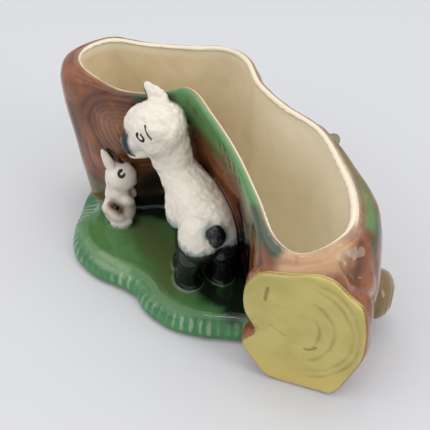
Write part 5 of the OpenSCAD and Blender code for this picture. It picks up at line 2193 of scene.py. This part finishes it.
@dataclass
class Potter:
    """Carves and paints the skin, then hands over the pieces."""

    log: Log
    bank: Bank
    lamb: Lamb
    rabbit: Rabbit
    voxel: float
    # How far on both sides of the log's face the lamb's clay counts as the log's
    seam: float = 2.4
    # Rounds of smoothing: everywhere, at the joints and at the rim
    all_rounds: int = 3
    joint_rounds: int = 12
    rim_rounds: int = 10
    # The rim is smoothed down to between these depths below its top
    rim_fade: tuple[float, float] = (12.0, 7.0)
    # Facts that the forms gave the skin, which no finish reads
    facts: tuple[str, ...] = ("along", "rim")

    def sculpt(self) -> Skin:
        """Melts all forms and softens their joints.

        Returns:
            The clay, with each vertex given to a node.
        """
        forms = self.log.forms() + [self.bank.form()] + self.bank.foot()
        forms += self.lamb.forms() + self.rabbit.forms()
        skin = Skin(forms, self.voxel)
        self.free_lamb(skin)
        self.name_sawn_faces(skin)
        skin.smooth(1.0, self.all_rounds, keep=True)
        skin.smooth(skin.joints(4), self.joint_rounds)
        below = skin.marks["rim"] - skin.points[:, 2]
        rim = skin.is_node("trough") * smooth_step(skin.spread(below, 2), *self.rim_fade)
        skin.smooth(skin.spread(rim, 3), self.rim_rounds, keep=True)
        return skin

    def free_lamb(self, skin: Skin) -> None:
        """Gives the seam between the lamb and the log behind it to the log.

        Args:
            skin: The clay, which gets new labels.
        """
        wall = self.log.hollow_tree(0.0)
        for i in np.flatnonzero(skin.is_node("lamb_body")):
            depth = inside_of(wall, skin.points[i])
            if -self.seam < depth < 2 * self.seam:
                skin.label[i] = skin.nodes.index("trough")

    def name_sawn_faces(self, skin: Skin) -> None:
        """Gives the flat ends to the nodes of the sawn faces.

        Args:
            skin: The clay, which gets new labels.
        """
        for place, start, old, new in (
            (self.log.front_place, 0.0, "front_log_end", "front_sawn_face"),
            (self.log.left_place, 0.0, "trough", "left_sawn_face"),
            (self.log.side_place, self.log.side_stub_reach, "side_stub", "side_stub_face"),
            (self.log.back_place, self.log.back_stub_reach, "back_stub", "back_stub_face"),
        ):
            own = place.own(skin.points)
            skin.relabel(skin.is_node(old) & (own[:, 0] > start), new)

    def paint(self, skin: Skin) -> None:
        """Carves and paints every part.

        Args:
            skin: The clay, which it changes.
        """
        self.log.decorate(skin)
        self.log.decorate_sawn_faces(skin)
        self.bank.decorate(skin)
        self.lamb.decorate(skin)
        self.rabbit.decorate(skin)
        for name in self.facts:
            del skin.marks[name]
        for name, mark in skin.marks.items():
            skin.marks[name] = skin.spread(mark, 1)

    def glazes(self) -> dict[str, Glaze]:
        """The finishes of the pot.

        Returns:
            A finish for each material slot of the record.
        """
        return {
            # Underglaze browns, greens and black, sprayed and brushed on the biscuit and dipped in a clear
            # lead-type glaze: warm bark with moss on the rim and a cream, brown-washed inside, all glossy.
            # Painted shade deepens the black behind the animals and the wash towards the left inside
            "bark_glaze": Glaze(
                "transparent_glazed_bark",
                "#8f5838",
                "#704024",
                (
                    Layer("tan", "#b8906a", 0.1, 0.95, 0.3, 5.0),
                    Layer("groove", "#4a2a1b", 0.05, 1.0, 0.15, 4.0, 0.9),
                    Layer("olive", "#5d5a30", 0.1, 1.0, 0.2, 7.0, 0.85),
                    # Black spray, deepened with painted shade in the niche behind the animals
                    Layer("dark", "#120d0c", 0.15, 0.95, 0.25, 5.0),
                    Layer("moss", "#558650", 0.05, 1.0, 0.25, 5.0),
                    Layer("ash", "#47513d", 0.15, 0.95, 0.2, 5.0),
                    Layer("dimple", "#6a4a24", 0.1, 1.0, 0.2, 3.0, 0.75),
                    Layer("cream", "#d9c39c", 0.2, 1.0, 0.2, 4.0),
                    Layer("sawn", "#c2b466", 0.1, 0.9, 0.2, 5.0),
                    Layer("umber", "#75603a", 0.1, 0.9, 0.2, 5.0, 0.95),
                    Layer("lip_line", "#d9b997", 0.45, 0.55, 0.04, 3.0, 0.9),
                    Layer("inside", "#f0e6cd", 0.45, 0.55, 0.03, 4.0),
                    # The brushed brown wash inside, with painted shade that grows towards the left
                    Layer("inner_wash_and_shade", "#c4a15c", 0.0, 1.0, 0.1, 12.0, 0.85),
                    Layer("lip", "#dacdb2", 0.1, 0.9, 0.0, 4.0, 0.8),
                ),
                grain=Grain.STREAKED,
            ),
            # Ochre underglaze, sponged on and wiped off the rings, under the same clear glaze:
            # the yellow-green ends with darker growth rings and a brown edge
            "sawn_wood_glaze": Glaze(
                "transparent_glazed_sawn_wood",
                "#c2b466",
                "#b7a85c",
                (
                    Layer("warm", "#d8bd66", 0.1, 1.0, 0.5, 12.0, 0.8),
                    Layer("mossy", "#a49a52", 0.1, 1.0, 0.5, 12.0, 0.8),
                    Layer("groove", "#7a6429", 0.05, 1.0, 0.2, 4.0, 0.85),
                    Layer("umber", "#75603a", 0.0, 1.0, 0.2, 6.0, 0.95),
                    Layer("bark_edge", "#8d5c3a", 0.44, 0.56, 0.05, 3.0),
                    Layer("tan", "#8a5a38", 0.2, 0.9, 0.3, 4.0),
                ),
            ),
            # Green underglaze, sprayed darker against the log and wiped off the flutes' crests,
            # under clear glaze: wet-looking grass with a pale, feathered edge. The dark against the log is
            # black spray and painted shade together, and the dark under the lamb and round the rabbit is
            # painted shade
            "grass_glaze": Glaze(
                "transparent_glazed_grass",
                "#427c4e",
                "#3a6f46",
                (
                    Layer("top", "#4d7a41", 0.1, 1.0, 0.3, 12.0, 0.85),
                    Layer("olive", "#525f38", 0.1, 1.0, 0.3, 9.0, 0.9),
                    Layer("fresh", "#458a53", 0.1, 1.0, 0.3, 8.0, 0.7),
                    Layer("pale", "#98ae86", 0.1, 1.0, 0.4, 3.0, 0.8),
                    # Black spray along the log, and painted shade under the lamb and round the rabbit
                    Layer("dark", "#10140f", 0.15, 1.0, 0.3, 6.0, 0.95),
                ),
            ),
            # Off-white clay body under clear glaze, with sprayed black, painted shade and brushed eyes: wool
            # that shines softly because its modelled curls break the reflection up
            "white_glaze": Glaze(
                "transparent_glazed_wool",
                "#e4dccd",
                "#ddd4c4",
                (
                    # Painted shade in the creases, the brow, under the jaw and on the ridges over the eyes
                    Layer("shade", "#a9ada3", 0.1, 1.0, 0.2, 3.0, 0.7),
                    Layer("teal", "#7d918c", 0.15, 0.95, 0.5, 1.4, 0.8),
                    Layer("slate", "#2b3740", 0.25, 0.95, 0.3, 2.5),
                    Layer("black", "#0d1012", 0.3, 0.8, 0.35, 1.4),
                ),
                self.lamb.lines(),
                Grain.WOOL,
                coat=0.7,
                coat_roughness=0.12,
            ),
            # Black underglaze, sprayed over the same off-white clay, under clear glaze: the legs and the
            # tail, with blue-grey specks where the spray runs out
            "black_glaze": Glaze(
                "transparent_glazed_black",
                "#dfd8cc",
                "#d5cec2",
                (
                    Layer("teal", "#6f8480", 0.15, 0.95, 0.5, 1.4, 0.8),
                    Layer("black", "#0d0f11", 0.3, 0.8, 0.25, 1.4),
                ),
            ),
            # Off-white clay body with brown and black touches of underglaze, under clear glaze:
            # the smooth, glossy fur of the rabbit, with painted shade where it sits on the grass
            "rabbit_glaze": Glaze(
                "transparent_glazed_fur",
                "#ebe2d5",
                "#e2d5c6",
                (
                    Layer("brown", "#7a5535", 0.1, 1.0, 0.3, 1.6),
                    # Black touches, and the painted shade at the grass
                    Layer("black", "#16100e", 0.3, 0.85, 0.25, 1.6),
                ),
                self.rabbit.lines(),
            ),
            # The same glazed body with a breath of sprayed brown: the rabbit's tail
            "rabbit_patch_glaze": Glaze(
                "transparent_glazed_tail",
                "#e4d8cb",
                "#d8c7b7",
                (Layer("brown", "#7a4f35", 0.15, 0.9, 0.3, 1.6),),
            ),
            # Once-fired earthenware whose glaze was wiped off so that it doesn't stick to the kiln
            # shelf: matt, pinkish and finely grained
            "bare_biscuit": Glaze(
                "bare_earthenware_biscuit", "#b59079", "#a8836c", grain=Grain.BARE, coat=0.0
            ),
        }

    def dress(self, skin: Skin) -> None:
        """Cuts the skin into pieces and gives each its glaze.

        Args:
            skin: The finished clay.
        """
        slots = {row["node"]: row["material_slot"] for row in frame["record"]["subparts"]}
        materials = {name: glaze.material() for name, glaze in self.glazes().items()}
        for node, piece in skin.pieces().items():
            piece.data.materials.append(materials[slots[node]])
            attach(piece, "root")
            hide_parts(node)
            LOGGER.info("%s: %d faces, %s", piece.name, len(piece.data.polygons), slots[node])


def main() -> None:
    """Builds the studio, then the pot from its forms to its finishes."""
    logging.basicConfig(level=logging.INFO, format="%(message)s")
    Studio().build()
    log_part = Log()
    voxel = VOXEL
    potter = Potter(log_part, Bank(log_part), Lamb(), Rabbit(), voxel)
    skin = potter.sculpt()
    potter.paint(skin)
    skin.tidy_borders()
    potter.dress(skin)


if __name__ == "__main__":
    main()
